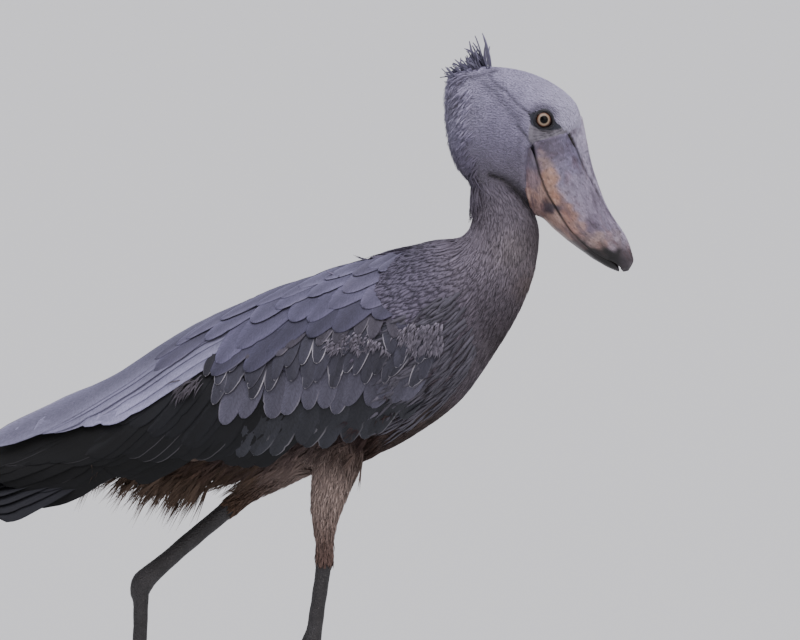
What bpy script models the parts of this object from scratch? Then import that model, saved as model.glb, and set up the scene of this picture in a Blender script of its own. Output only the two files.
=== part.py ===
# Shoebill, a life-size still model of a bird in mid stride.
# Millimetres in the tables below, metres in the meshes. +X is forward, +Z up,
# -Y the bird's right side. The origin is on the floor under the middle of the bird.

import math
import random

import bmesh
import bpy
import numpy as np

MM = 0.001
GAP = 0.3                       # face to face, between two nodes
SIDES = {"right": -1.0, "left": 1.0}
UP = np.array([0.0, 0.0, 1.0])

# How finely each round form is divided
BODY_RING_SIDES = 24
HEAD_RING_SIDES = 24
LEG_RING_SIDES = 11
TOE_RING_SIDES = 8
CLAW_RING_SIDES = 6
FLAT_ENOUGH = 5.0               # degrees between faces that are run together

# Side elevation of the body as ribs from the rump to the top of the neck:
# back point x, z, belly point x, z, half width, and how far the width sits towards the back.
BODY_RIBS = (
    (-249, 552, -252, 513, 20, 0.00),
    (-207, 586, -217, 479, 42, 0.05),
    (-140, 630, -151, 463, 70, 0.08),
    (-67, 669, -73, 463, 92, 0.10),
    (13, 704, 13, 468, 108, 0.08),
    (93, 745, 100, 493, 117, 0.05),
    (140, 772, 159, 525, 120, 0.00),
    (176, 783, 209, 564, 110, -0.05),
    (200, 785, 243, 609, 90, -0.05),
    (212, 790, 276, 660, 70, -0.05),
    (219, 803, 301, 711, 55, 0.00),
    (222, 820, 313, 756, 48, 0.00),
    (223, 837, 315, 796, 45, 0.00),
    (220, 855, 307, 824, 43, 0.00),
    (216, 873, 289, 853, 40, 0.00),
)
NECK_STARTS_AT_RIB = 9
BODY_STEPS = 2                  # rings to a rib
BODY_SQUARE = 0.92              # under 1 fills the corners of a ring
HEAD_RIBS = (
    (189, 961, 191, 937, 8, 0.0),
    (193, 991, 196, 905, 34, 0.0),
    (209, 1007, 208, 876, 47, 0.0),
    (236, 1012, 231, 857, 54, 0.0),
    (267, 1011, 253, 852, 57, 0.0),
    (297, 1005, 273, 846, 57, -0.06),
    (324, 994, 288, 837, 55, -0.12),
    (347, 979, 299, 827, 52, -0.15),
    (363, 962, 305, 820, 49, -0.15),
    (372, 937, 311, 815, 45, -0.15),
)
HEAD_SQUARE = 0.88
# The bill as ribs from base to tip: ridge x, z, cutting edge x, z, half width.
UPPER_BILL_RIBS = (
    (369, 943, 303, 909, 50),
    (375, 916, 307, 891, 53),
    (380, 891, 312, 870, 55),
    (388, 863, 321, 846, 55),
    (399, 833, 335, 822, 52),
    (412, 809, 353, 794, 46),
    (424, 792, 373, 775, 38),
    (432, 777, 393, 760, 28),
    (437, 761, 412, 751, 17),
    (438, 751, 421, 744, 10),
    (431, 739, 425, 738, 3),
)
# The lower bill's cutting edge reaches up inside the upper bill, which is then cut from it.
LOWER_BILL_RIBS = (
    (291, 901, 301, 818, 45),
    (307, 890, 310, 812, 49),
    (315, 870, 319, 807, 51),
    (325, 847, 331, 795, 51),
    (339, 822, 348, 781, 48),
    (357, 797, 367, 767, 42),
    (376, 780, 384, 755, 34),
    (396, 765, 401, 745, 24),
    (412, 754, 415, 739, 13),
    (418, 748, 419, 738, 5),
)
# Half a section of the upper bill, from the ridge over the groove to the cutting edge:
# across as a share of the half width, up as a share of the height.
UPPER_BILL_SECTION = (
    (0.0, 1.0), (0.12, 0.985), (0.20, 0.88), (0.27, 0.85), (0.36, 0.86), (0.58, 0.77),
    (0.82, 0.57), (0.97, 0.28), (1.0, 0.06), (0.95, 0.0),
)
LOWER_BILL_SECTION = (
    (0.0, 0.0), (0.5, 0.0), (0.95, 0.0), (1.0, 0.08), (0.97, 0.35), (0.86, 0.62),
    (0.66, 0.83), (0.38, 0.95), (0.0, 1.0),
)
BILL_ROOM_WIDTH = 70            # half width of the space cut from the head in front of the bill's base
NOSTRIL = {"place": (357, 14, 905), "along": 9.0, "across": 4.0, "thick": 1.4, "lean": 70.0}

EYE_RADIUS = 13.0
EYE_CENTRE = (318.0, 44.0, 941.0)
LID_RADIUS = 11.6               # of the ring round the opening
LID_DEPTH = 6.4                 # how far that ring's plane lies out from the eye's middle
LID_THICKNESS = 2.0

# Outer face of the folded wing, rows from shoulder to tip and columns from back to lower edge:
# forward, up and half width.
WING_GRID = (
    ((133, 775, 4), (164, 727, 70), (180, 660, 112), (180, 600, 110), (159, 560, 92)),
    ((53, 751, 4), (71, 716, 72), (84, 653, 128), (89, 580, 134), (84, 524, 108)),
    ((-47, 716, 4), (-31, 684, 70), (-16, 620, 126), (-9, 553, 131), (-7, 501, 108)),
    ((-147, 667, 4), (-136, 640, 58), (-124, 587, 102), (-113, 527, 110), (-105, 480, 96)),
    ((-244, 599, 6), (-233, 580, 38), (-220, 543, 68), (-207, 503, 78), (-193, 471, 74)),
    ((-327, 551, 10), (-319, 535, 28), (-307, 511, 44), (-295, 489, 54), (-280, 465, 56)),
    ((-436, 497, 14), (-431, 489, 20), (-423, 479, 28), (-413, 468, 34), (-401, 457, 36)),
)
# The flesh of the wing under its feathers, as rows and columns of that grid and depths below it.
WING_CORE = {"rows": (-0.15, 4.1), "columns": (0.0, 3.75), "outer": -2.6, "inner": -12.0, "rim": -6.5}
WING_ROOT_DEPTH = -6.0          # how deep each feather's root lies

# Feathers of the folded wing in tiers, deepest first. Roots and tips run along lines between two
# places of the wing grid, each a row and a column. Half width and lift of the tip in millimetres.
WING_TIERS = (
    {"name": "primaries", "count": 5, "roots": ((3.2, 3.3), (3.7, 1.4)), "tips": ((5.1, 3.95), (5.9, 0.9)),
     "half_width": 19, "lift": -1.2, "stations": 5},
    {"name": "secondaries", "count": 6, "roots": ((2.2, 3.1), (3.2, 0.9)), "tips": ((3.0, 4.03), (5.1, 1.6)),
     "half_width": 25, "lift": -0.4, "stations": 4},
    {"name": "greater coverts", "count": 9, "roots": ((0.05, 3.0), (3.0, 2.7)),
     "tips": ((0.2, 3.95), (3.4, 3.7)), "half_width": 20, "lift": 0.6, "stations": 4},
    {"name": "median coverts", "count": 8, "roots": ((0.15, 2.2), (3.1, 2.0)),
     "tips": ((0.25, 2.95), (3.6, 2.8)), "half_width": 22, "lift": 1.6, "stations": 4},
    {"name": "lesser coverts", "count": 6, "roots": ((0.15, 1.5), (2.3, 1.6)),
     "tips": ((0.3, 2.25), (2.75, 2.35)), "half_width": 23, "lift": 2.6, "stations": 4},
    {"name": "tertials", "count": 3, "roots": ((2.9, 1.25), (2.6, 0.25)), "tips": ((4.5, 1.1), (5.95, 0.3)),
     "half_width": 22, "lift": 3.0, "stations": 5},
    {"name": "lower scapulars", "count": 4, "roots": ((0.1, 1.15), (1.9, 1.0)),
     "tips": ((0.75, 1.8), (2.9, 1.75)), "half_width": 32, "lift": 4.2, "stations": 4},
    {"name": "upper scapulars", "count": 4, "roots": ((0.4, 0.4), (2.4, 0.35)),
     "tips": ((1.2, 1.0), (3.3, 0.8)), "half_width": 30, "lift": 5.4, "stations": 4},
)
FEATHER_THICKNESS = 1.4
FEATHER_CLEAR = 0.45            # between feathers of a tier that lie over one another

TAIL = {
    "count": 12, "root": (-222, 14, 529), "tip": (-436, 58, 455), "drop": 40, "pull": 30, "sag": 6,
    "half_width": 16, "core": (-222, -290), "core_depth": 3.2,
}
TAIL_COVERTS = {"count": 3, "reach": 0.5, "half_width": 20}

# Hanging plumes under the belly: count, root from and to, length and fall.
TUFTS = {
    "count": 10, "stations": (0.9, 3.3), "turn": (-0.2, 0.5), "length": (36, 64),
    "half_width": 9, "sunk": 9,
}

# Crest feathers between a rear and a front root, with their lean from straight ahead in degrees.
CREST = {
    "count": 12, "rear": (207, 0, 975), "front": (236, 0, 1004), "spread": 18, "length": (26, 50),
    "lean": (196, 86), "half_width": 4.2, "curl": 0.12,
}

# Legs: forward, across (outwards), up, half depth fore and aft, half width across.
THIGH_RIBS = {
    "right": (
        (50, 62, 545, 28, 22), (48, 60, 510, 34, 29), (43, 56, 485, 34, 30), (36, 51, 458, 29, 27),
        (30, 46, 430, 24, 22), (27, 42, 402, 18, 17), (27, 38, 380, 13, 13), (27, 36, 362, 10.5, 10.5),
    ),
    "left": (
        (40, 60, 530, 28, 22), (7, 60, 498, 33, 28), (-27, 58, 474, 28, 26), (-57, 54, 452, 20, 20),
        (-78, 51, 437, 14, 14), (-94, 49, 425, 11.5, 11),
    ),
}
SHANK_RIBS = {
    "right": (
        (27, 36, 363, 10.2, 9.2), (23, 34, 330, 10, 9), (18, 32, 296, 10, 9), (13, 30, 262, 10.5, 9.5),
        (9, 29, 245, 13, 11.5), (6, 28, 232, 15, 13), (7, 28, 221, 13.5, 12.5),
    ),
    "left": (
        (-91, 49, 427, 11.5, 10), (-125, 47, 399, 11.5, 9.5), (-160, 45, 370, 11.5, 9.5),
        (-190, 43, 344, 12, 10), (-208, 42, 329, 13.5, 12), (-218, 41, 318, 15, 13.5),
        (-222, 41, 307, 14, 12.5),
    ),
}
TARSUS_RIBS = {
    "right": (
        (8, 28, 219, 12.5, 11.5), (12, 28, 205, 10.5, 9.5), (25, 28, 165, 9.5, 8), (47, 28, 100, 9, 8),
        (68, 28, 42, 10, 9), (75, 28, 25, 12, 11), (79, 28, 12, 12, 12),
    ),
    "left": (
        (-222, 41, 305, 13, 11.5), (-221, 41, 290, 10.5, 9.5), (-222, 41, 250, 9.5, 8),
        (-226, 42, 180, 9, 8), (-229, 42, 115, 10, 9), (-230, 42, 98, 12, 11), (-230, 42, 85, 12, 11),
    ),
}
# Toes: angle from straight ahead towards the bird's outer side, and length to the root of the claw.
TOES = {"inner": (-27.0, 112.0), "middle": (1.0, 158.0), "outer": (29.0, 126.0), "rear": (166.0, 70.0)}
CLAW_LENGTH = 19.0
REST_OF_RADIUS = 0.80           # how high a toe's middle lies over the floor, of its radius
FOOT_PIVOT = {"right": (80.0, 28.0, 14.0), "left": (-229.0, 42.0, 84.0)}
TOE_DROP = {"right": 0.0, "left": 56.0}   # how steeply the raised foot's toes leave it, in degrees

COLOURS = {
    "plumage": ("#5E5E6B", 0.85, 0.0),
    "flight": ("#2E3138", 0.7, 0.0),
    "horn": ("#A5876F", 0.45, 0.0),
    "eye": ("#D9B27C", 0.15, 0.0),
    "leg": ("#242326", 0.6, 0.0),
    "claw": ("#1B1A1A", 0.4, 0.0),
    "thigh": ("#5A4C48", 0.9, 0.0),
}


def linear(hex_colour):
    """Linear red, green and blue of an sRGB hex colour."""
    values = [int(hex_colour[i:i + 2], 16) / 255 for i in (1, 3, 5)]
    return [v / 12.92 if v <= 0.04045 else ((v + 0.055) / 1.055) ** 2.4 for v in values]


def material(name):
    """The Principled material of one of the bird's surfaces."""
    found = bpy.data.materials.get(name)
    if found:
        return found
    colour, roughness, metallic = COLOURS[name]
    made = bpy.data.materials.new(name)
    made.use_nodes = True
    shader = made.node_tree.nodes["Principled BSDF"]
    shader.inputs["Base Color"].default_value = (*linear(colour), 1)
    shader.inputs["Roughness"].default_value = roughness
    shader.inputs["Metallic"].default_value = metallic
    return made


def unit(vector):
    return vector / np.linalg.norm(vector)


def solid(name, points, faces):
    """A mesh object from points in millimetres."""
    mesh = bpy.data.meshes.new(name)
    mesh.from_pydata([tuple(c * MM for c in p) for p in points], [], faces)
    made = bpy.data.objects.new(name, mesh)
    bpy.context.scene.collection.objects.link(made)
    tidy = bmesh.new()
    tidy.from_mesh(mesh)
    bmesh.ops.recalc_face_normals(tidy, faces=tidy.faces)
    tidy.to_mesh(mesh)
    tidy.free()
    return made


def smooth_rows(rows, steps):
    """Rows of numbers with steps points to each span of a curve through them all."""
    rows = np.array(rows, float)
    ends = np.vstack([2 * rows[0] - rows[1], rows, 2 * rows[-1] - rows[-2]])
    made = []
    for i in range(1, len(ends) - 2):
        before, start, stop, after = ends[i - 1:i + 3]
        for k in range(steps):
            t = k / steps
            made.append(0.5 * (
                2 * start + (stop - before) * t
                + (2 * before - 5 * start + 4 * stop - after) * t * t
                + (3 * start - before - 3 * stop + after) * t ** 3
            ))
    made.append(rows[-1])
    return np.array(made)


def ring_point(row, angle, square):
    """A point of the ring round a rib, with angle 0 at the back and pi at the belly."""
    back_x, back_z, belly_x, belly_z, half_width, high = row
    middle = np.array([(back_x + belly_x) / 2, 0, (back_z + belly_z) / 2])
    half = np.array([(back_x - belly_x) / 2, 0, (back_z - belly_z) / 2])
    up, across = math.cos(angle), math.sin(angle)
    up = math.copysign(abs(up) ** square, up)
    across = math.copysign(abs(across) ** square, across)
    return middle + half * up + np.array([0, half_width * across * (1 + high * up), 0])


def rib_ring(row, sides, square):
    return np.array([ring_point(row, 2 * math.pi * k / sides, square) for k in range(sides)])


def loft(name, rings):
    """One closed body through rings of equal count, with a flat cap at each end."""
    count = len(rings[0])
    points = [p for ring in rings for p in ring]
    faces = [tuple(range(count)), tuple(range(len(points) - count, len(points)))]
    for i in range(len(rings) - 1):
        for k in range(count):
            n = (k + 1) % count
            a, b = i * count, (i + 1) * count
            faces.append((a + k, a + n, b + n))
            faces.append((a + k, b + n, b + k))
    return solid(name, points, faces)


def apply_modifier(target, modifier):
    with bpy.context.temp_override(object=target, active_object=target):
        bpy.ops.object.modifier_apply(modifier=modifier.name)


def enclosed(island):
    """Volume inside the faces of a set of vertices."""
    total = 0.0
    for face in {f for v in island for f in v.link_faces}:
        corners = [v.co for v in face.verts]
        for i in range(1, len(corners) - 1):
            total += corners[0].dot(corners[i].cross(corners[i + 1])) / 6
    return total


def keep_largest(target):
    """Drops all but the largest closed surface of a mesh."""
    work = bmesh.new()
    work.from_mesh(target.data)
    left = set(work.verts)
    islands = []
    while left:
        seed = left.pop()
        island, edge = {seed}, [seed]
        while edge:
            for link in edge.pop().link_edges:
                fresh = [v for v in link.verts if v in left]
                left.difference_update(fresh)
                island.update(fresh)
                edge.extend(fresh)
        islands.append(island)
    if len(islands) > 1:
        best = max(islands, key=enclosed)
        scrap = [v for island in islands if island is not best for v in island]
        bmesh.ops.delete(work, geom=scrap, context="VERTS")
        work.to_mesh(target.data)
    work.free()


def lighten(target):
    """Runs faces that all but share a plane together, and splits the mesh into triangles again."""
    work = bmesh.new()
    work.from_mesh(target.data)
    limit = math.radians(FLAT_ENOUGH)
    bmesh.ops.dissolve_limit(work, angle_limit=limit, verts=work.verts, edges=work.edges)
    bmesh.ops.triangulate(work, faces=work.faces)
    work.to_mesh(target.data)
    work.free()


def combine(target, others, operation):
    """Joins others to target or cuts them from it in one Boolean, and removes them."""
    group = bpy.data.collections.new("pieces")
    for other in others:
        group.objects.link(other)
    modifier = target.modifiers.new("combine", "BOOLEAN")
    modifier.operation = operation
    modifier.solver = "MANIFOLD"
    modifier.operand_type = "COLLECTION"
    modifier.collection = group
    apply_modifier(target, modifier)
    for other in others:
        bpy.data.objects.remove(other)
    bpy.data.collections.remove(group)
    keep_largest(target)


def join(target, others):
    combine(target, others, "UNION")


def cut(target, *cutters):
    """Cuts closed bodies, each swollen by the gap, from a node."""
    for cutter in cutters:
        swell(cutter, GAP)
    combine(target, list(cutters), "DIFFERENCE")


def swell(target, distance):
    """Moves every face of a body outwards."""
    work = bmesh.new()
    work.from_mesh(target.data)
    work.normal_update()
    places = [v.co + v.normal * distance * MM * min(v.calc_shell_factor(), 2.5) for v in work.verts]
    for v, place in zip(work.verts, places):
        v.co = place
    work.to_mesh(target.data)
    work.free()


def finish(target, slot):
    """Gives a node its material and shading."""
    target.data.materials.clear()
    target.data.materials.append(material(slot))
    target.data.shade_smooth()
    target.data.set_sharp_from_angle(angle=math.radians(40))


def feather(name, path, normals, widths, hand, thickness=FEATHER_THICKNESS, roll=0.0):
    """A thin plate along a path, split alike on both faces.

    hand is 1 or -1, and turns the edge that stands out over its neighbour to the other side."""
    points = []
    for i, centre in enumerate(path):
        way = unit(path[min(i + 1, len(path) - 1)] - path[max(i - 1, 0)])
        out = unit(normals[i] - way * normals[i].dot(way))
        across = hand * np.cross(way, out) * widths[i]
        tilt = out * widths[i] * roll
        half = out * thickness * (0.5 if i < len(path) - 1 else 0.32)
        front, rear = centre + across + tilt, centre - across - tilt
        points += [front + half, rear + half, rear - half, front - half]
    faces = []
    for a in range(0, len(points) - 4, 4):
        b = a + 4
        faces += [(a, a + 1, b + 1), (a, b + 1, b), (a + 3, b + 2, a + 2), (a + 3, b + 3, b + 2)]
        faces += [(a + 1, a + 2, b + 2), (a + 1, b + 2, b + 1), (a + 3, a, b), (a + 3, b, b + 3)]
    last = len(points) - 4
    faces += [(0, 1, 2), (0, 2, 3), (last, last + 1, last + 2), (last, last + 2, last + 3)]
    return solid(name, points, faces)


PROFILES = {                    # stations along a feather and its width there
    4: ((0.0, 0.7), (0.55, 1.0), (0.87, 0.84), (1.0, 0.34)),
    5: ((0.0, 0.5), (0.35, 0.9), (0.7, 1.0), (0.92, 0.8), (1.0, 0.32)),
}


def body_rows():
    return smooth_rows(BODY_RIBS, BODY_STEPS)


def torso_core(name="torso"):
    """The torso as far as the foot of the neck, without its plumes."""
    rows = body_rows()[:BODY_STEPS * NECK_STARTS_AT_RIB + 1]
    return loft(name, [rib_ring(row, BODY_RING_SIDES, BODY_SQUARE) for row in rows])


def belly_tuft(draw, share):
    """One ragged plume that hangs back and down from the belly or the vent."""
    first, last = TUFTS["stations"]
    station = first + (last - first) * share
    row = smooth_rows(BODY_RIBS, 10)[int(round(station * 10))]
    turn = draw.uniform(*TUFTS["turn"])
    root = ring_point(row, math.pi + turn, BODY_SQUARE)
    inward = unit(np.array([0, 0, (row[1] + row[3]) / 2]) - root * (0, 1, 1))
    way = unit(np.array([-0.9 + 0.35 * share, 0.0, -0.45 - 0.4 * share]))
    length = draw.uniform(*TUFTS["length"])
    root = root + inward * TUFTS["sunk"]
    path = [root + way * (length + TUFTS["sunk"]) * f - UP * 9 * f * f for f, _ in PROFILES[4]]
    widths = [TUFTS["half_width"] * w for w in (1.0, 1.0, 0.55, 0.12)]
    sideways = np.array([draw.uniform(-0.3, 0.3), 1.0, draw.uniform(-0.2, 0.4)])
    return feather("tuft", path, [sideways] * 4, widths, 1.0, 2.2, 0.0)


def torso():
    """The torso with the long plumes under its belly and vent."""
    made = torso_core()
    draw = random.Random(11)
    count = TUFTS["count"]
    join(made, [belly_tuft(draw, k / (count - 1)) for k in range(count)])
    finish(made, "plumage")


def neck():
    """The neck, from a thin cut at its foot up into the head and the lower bill."""
    rows = body_rows()[BODY_STEPS * NECK_STARTS_AT_RIB:]
    rings = [rib_ring(row, BODY_RING_SIDES, BODY_SQUARE) for row in rows]
    quarter = BODY_RING_SIDES // 4
    lift = unit(np.cross(rings[0][2 * quarter] - rings[0][0], rings[0][quarter] - rings[0][0]))
    if lift[0] + lift[2] < 0:
        lift = -lift
    rings[0] = rings[0] + lift * GAP
    made = loft("neck", rings)
    cut(made, head_core("head_space"), lower_bill("lower_space"))
    finish(made, "plumage")


def bill_ring(row, section):
    """A ring of the bill from half a section, which runs from the cutting edge to the far point."""
    far_x, far_z, edge_x, edge_z, half_width = row
    edge = np.array([edge_x, 0, edge_z], float)
    rise = np.array([far_x - edge_x, 0, far_z - edge_z], float)
    inner = [p for p in section if p[0] > 0]
    ends = [p for p in section if p[0] == 0]
    ring = list(section[:1]) + inner + (list(section[-1:]) if len(ends) == 2 else [])
    ring += [(-across, up) for across, up in reversed(inner)]
    return np.array([edge + rise * up + np.array([0, across * half_width, 0]) for across, up in ring])


def upper_bill(name="bill_upper"):
    rows = smooth_rows(UPPER_BILL_RIBS, 2)
    return loft(name, [bill_ring(row, UPPER_BILL_SECTION) for row in rows])


def lower_bill(name="bill_lower"):
    swapped = np.array(LOWER_BILL_RIBS, float)[:, [2, 3, 0, 1, 4]]
    made = loft(name, [bill_ring(row, LOWER_BILL_SECTION) for row in swapped])
    cut(made, upper_bill("upper_space"))
    return made


def bill_room(name, ribs):
    """The space of half a bill in side view, as wide as the head, which ends along the bill's base."""
    rows = np.array(ribs, float)
    rows[:, 4] = BILL_ROOM_WIDTH
    return loft(name, [bill_ring(row, ((0.0, 1.0), (1.0, 1.0), (1.0, 0.0))) for row in rows])


def ball(name, centre, sizes, segments=12, rings=8, lean=0.0):
    """A closed ball or egg with three half sizes, leant forward about Y."""
    work = bmesh.new()
    bmesh.ops.create_uvsphere(work, u_segments=segments, v_segments=rings, radius=1.0)
    c, s = math.cos(math.radians(lean)), math.sin(math.radians(lean))
    for v in work.verts:
        x, y, z = (v.co[i] * sizes[i] for i in range(3))
        place = np.array([x * c + z * s, y, z * c - x * s]) + centre
        v.co = [p * MM for p in place]
    mesh = bpy.data.meshes.new(name)
    work.to_mesh(mesh)
    work.free()
    made = bpy.data.objects.new(name, mesh)
    bpy.context.scene.collection.objects.link(made)
    return made


def nostril(side):
    x, y, z = NOSTRIL["place"]
    sizes = (NOSTRIL["thick"], NOSTRIL["across"], NOSTRIL["along"])
    return ball("nostril", (x, side * y, z), sizes, 8, 6, 90 - NOSTRIL["lean"])


def bill():
    upper = upper_bill()
    combine(upper, [nostril(side) for side in SIDES.values()], "DIFFERENCE")
    finish(upper, "horn")
    finish(lower_bill(), "horn")


def eye_place(side):
    x, y, z = EYE_CENTRE
    return np.array([x, side * y, z])


def eyeball(name, side):
    return ball(name, eye_place(side), [EYE_RADIUS] * 3, 12, 7)


def eyes():
    for word, side in SIDES.items():
        finish(eyeball("eye_" + word, side), "eye")


def eyelid(side):
    """A ring of skin round the eye's opening, drawn out to its lower front corner."""
    axis = unit(np.array([0.16, side, 0.04]))
    ahead = unit(np.cross(axis, UP) * -side)
    above = unit(np.cross(axis, ahead))
    if above[2] < 0:
        above = -above
    rings = []
    turns, sides = 12, 5
    for k in range(turns):
        a = 2 * math.pi * k / turns
        corner = max(0.0, math.cos(a + math.radians(32))) ** 6
        radius = LID_RADIUS + 3.2 * corner
        outward = ahead * math.cos(a) + above * math.sin(a)
        centre = eye_place(side) + axis * (LID_DEPTH - 0.8 * corner) + outward * radius
        thick = LID_THICKNESS * (1.25 if math.sin(a) > 0 else 1.0)
        ring = [centre + outward * math.cos(b) * thick + axis * math.sin(b) * thick
                for b in (2 * math.pi * j / sides for j in range(sides))]
        rings.append(ring)
    points = [p for ring in rings for p in ring]
    faces = []
    for k in range(turns):
        n = (k + 1) % turns
        for j in range(sides):
            m = (j + 1) % sides
            faces.append((k * sides + j, n * sides + j, n * sides + m, k * sides + m))
    return solid("lid", points, faces)


def head_core(name):
    rows = smooth_rows(HEAD_RIBS, 2)
    return loft(name, [rib_ring(row, HEAD_RING_SIDES, HEAD_SQUARE) for row in rows])


def crest():
    """Raised feathers on the back of the crown, each on its own, the longest in front."""
    draw = random.Random(5)
    made = []
    for k in range(CREST["count"]):
        share = k / (CREST["count"] - 1)
        hand = 1.0 if k % 2 else -1.0
        aside = hand * CREST["spread"] * draw.uniform(0.15, 1.0) * (1 - 0.6 * share)
        root = np.array(CREST["rear"]) * (1 - share) + np.array(CREST["front"]) * share
        root = root + np.array([0, aside, -0.012 * aside ** 2])
        rear_lean, front_lean = CREST["lean"]
        lean = math.radians(rear_lean + (front_lean - rear_lean) * share + draw.uniform(-9, 9))
        way = unit(np.array([math.cos(lean), 0.02 * aside, math.sin(lean)]))
        short, long = CREST["length"]
        length = (short + (long - short) * share ** 1.8) * draw.uniform(0.85, 1.0)
        curl = np.array([CREST["curl"] * length, 0, 0])
        path = [root + way * length * f + curl * f * f for f, _ in PROFILES[4]]
        widths = [CREST["half_width"] * w for w in (1.0, 0.85, 0.45, 0.14)]
        sideways = np.array([draw.uniform(-0.4, 0.4), 1.0, 0.0])
        made.append(feather("plume", path, [sideways] * 4, widths, 1.0, 1.4, 0.0))
    return made


def head():
    """The head with its lids and crest, and room for the eyes and the bill."""
    made = head_core("head")
    join(made, [eyelid(side) for side in SIDES.values()] + crest())
    eyes_space = [eyeball("eye_space", side) for side in SIDES.values()]
    bill_space = [bill_room("bill_space", ribs) for ribs in (UPPER_BILL_RIBS, LOWER_BILL_RIBS)]
    cut(made, *bill_space, *eyes_space)
    finish(made, "plumage")


class Wing:
    """The smooth outer face of a folded wing, for one side of the bird."""

    STEPS = 6

    def __init__(self, side):
        self.side = side
        grid = np.array(WING_GRID, float)[:, :, [0, 2, 1]]
        grid[:, :, 1] *= side
        rows = np.array([smooth_rows(row, self.STEPS) for row in grid])
        self.points = np.array([smooth_rows(rows[:, k], self.STEPS) for k in range(rows.shape[1])])
        self.points = self.points.transpose(1, 0, 2)
        normals = np.cross(np.gradient(self.points, axis=0), np.gradient(self.points, axis=1))
        if (normals[:, :, 1] * side).mean() < 0:
            normals = -normals
        self.normals = normals / np.linalg.norm(normals, axis=2, keepdims=True)

    def sample(self, field, row, column):
        """A value between the points of a field, carried on past its edges."""
        i, j = row * self.STEPS, column * self.STEPS
        i0 = int(min(max(i, 0), field.shape[0] - 2))
        j0 = int(min(max(j, 0), field.shape[1] - 2))
        u, v = i - i0, j - j0
        return (
            field[i0, j0] * (1 - u) * (1 - v) + field[i0 + 1, j0] * u * (1 - v)
            + field[i0, j0 + 1] * (1 - u) * v + field[i0 + 1, j0 + 1] * u * v
        )

    def normal(self, row, column):
        return unit(self.sample(self.normals, min(max(row, 0), 6), min(max(column, 0), 4)))

    def at(self, row, column, out=0.0):
        return self.sample(self.points, row, column) + self.normal(row, column) * out


def wing_core(name, wing):
    """The wing's flesh, thick in the middle and thin at its rim."""
    along, across = 8, 5
    (first, last), (top, bottom) = WING_CORE["rows"], WING_CORE["columns"]
    points, faces = [], []
    for outer in (True, False):
        for i in range(along + 1):
            for j in range(across + 1):
                row = first + (last - first) * i / along
                column = top + (bottom - top) * j / across
                rim = min(1.0, 2.2 * min(j / across, 1 - j / across), 2.5 * (1 - i / along))
                inner = WING_CORE["rim"] + (WING_CORE["inner"] - WING_CORE["rim"]) * rim
                points.append(wing.at(row, column, WING_CORE["outer"] if outer else inner))
    row, layer = across + 1, (along + 1) * (across + 1)
    for i in range(along):
        for j in range(across):
            a, b = i * row + j, (i + 1) * row + j
            for shift in (0, layer):
                faces += [(a + shift, b + shift, b + 1 + shift), (a + shift, b + 1 + shift, a + 1 + shift)]
    border = (
        [i * row for i in range(along + 1)]
        + [along * row + j for j in range(1, row)]
        + [i * row + across for i in range(along - 1, -1, -1)]
        + [j for j in range(across - 1, 0, -1)]
    )
    for a, b in zip(border, border[1:] + border[:1]):
        faces += [(a, b, b + layer), (a, b + layer, a + layer)]
    return solid(name, points, faces)


def between(pair, share):
    return tuple(a + (b - a) * share for a, b in zip(*pair))


def wing_feather(wing, tier, share, draw):
    """One feather of a tier, laid along the wing from its sunk root to its tip."""
    root, tip = between(tier["roots"], share), between(tier["tips"], share)
    reach = 1 + draw.uniform(-0.05, 0.05)
    tip = tuple(r + (t - r) * reach for r, t in zip(root, tip))
    path, normals = [], []
    profile = PROFILES[tier["stations"]]
    for f, _ in profile:
        row, column = (r + (t - r) * f for r, t in zip(root, tip))
        out = WING_ROOT_DEPTH + (tier["lift"] - WING_ROOT_DEPTH) * f ** 0.55
        path.append(wing.at(row, column, out))
        normals.append(wing.normal(row, column))
    widths = [tier["half_width"] * w for _, w in profile]
    return feather("feather", path, normals, widths, wing.side, roll=tier_roll(wing, tier))


def tier_roll(wing, tier):
    """Rise of a feather's front edge over its half width that clears the next feather in its tier."""
    first, last = (wing.at(*place) for place in tier["tips"])
    spacing = np.linalg.norm(last - first) / (tier["count"] - 1)
    return (FEATHER_THICKNESS + FEATHER_CLEAR) / spacing


def keep_off_middle(target, side):
    """Holds a wing to its own side of the bird's middle."""
    for v in target.data.vertices:
        v.co.y = side * max(side * v.co.y, GAP * MM)


def wing(word, side):
    """A folded wing, its feathers in overlapping tiers."""
    sheet = Wing(side)
    made = wing_core("wing_" + word, sheet)
    draw = random.Random(23)
    vanes = []
    for tier in WING_TIERS:
        for k in range(tier["count"]):
            vanes.append(wing_feather(sheet, tier, k / (tier["count"] - 1), draw))
    for vane in vanes:
        keep_off_middle(vane, side)
    keep_off_middle(made, side)
    join(made, vanes)
    lighten(made)
    cut(made, torso_core("torso_space"))
    finish(made, "flight")


def tail_path(across, profile, length=1.0, lift=0.0):
    """Points along a tail feather, across from -1 at the right to 1 at the left."""
    far = abs(across) ** 1.4
    root = np.array([TAIL["root"][0], across * TAIL["root"][1], TAIL["root"][2] - 6 * far])
    tip = np.array([
        TAIL["tip"][0] + TAIL["pull"] * far, across * TAIL["tip"][1], TAIL["tip"][2] - TAIL["drop"] * far,
    ])
    sag = TAIL["sag"]
    return [
        root + (tip - root) * f * length + UP * (lift * f - sag * math.sin(math.pi * f))
        for f, _ in profile
    ]


def tail_feather(across, profile, reach, lift, half_width):
    """One feather of the tail, its outer edge tucked under the next one in."""
    hand = 1.0 if across > 0 else -1.0
    path = tail_path(across, profile, reach, lift)
    slope = unit(np.array([0.25, 0.7 * across, 1.0]))
    widths = [half_width * w for _, w in profile]
    return feather("vane", path, [slope] * len(path), widths, hand, 1.5, 0.05)


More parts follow.
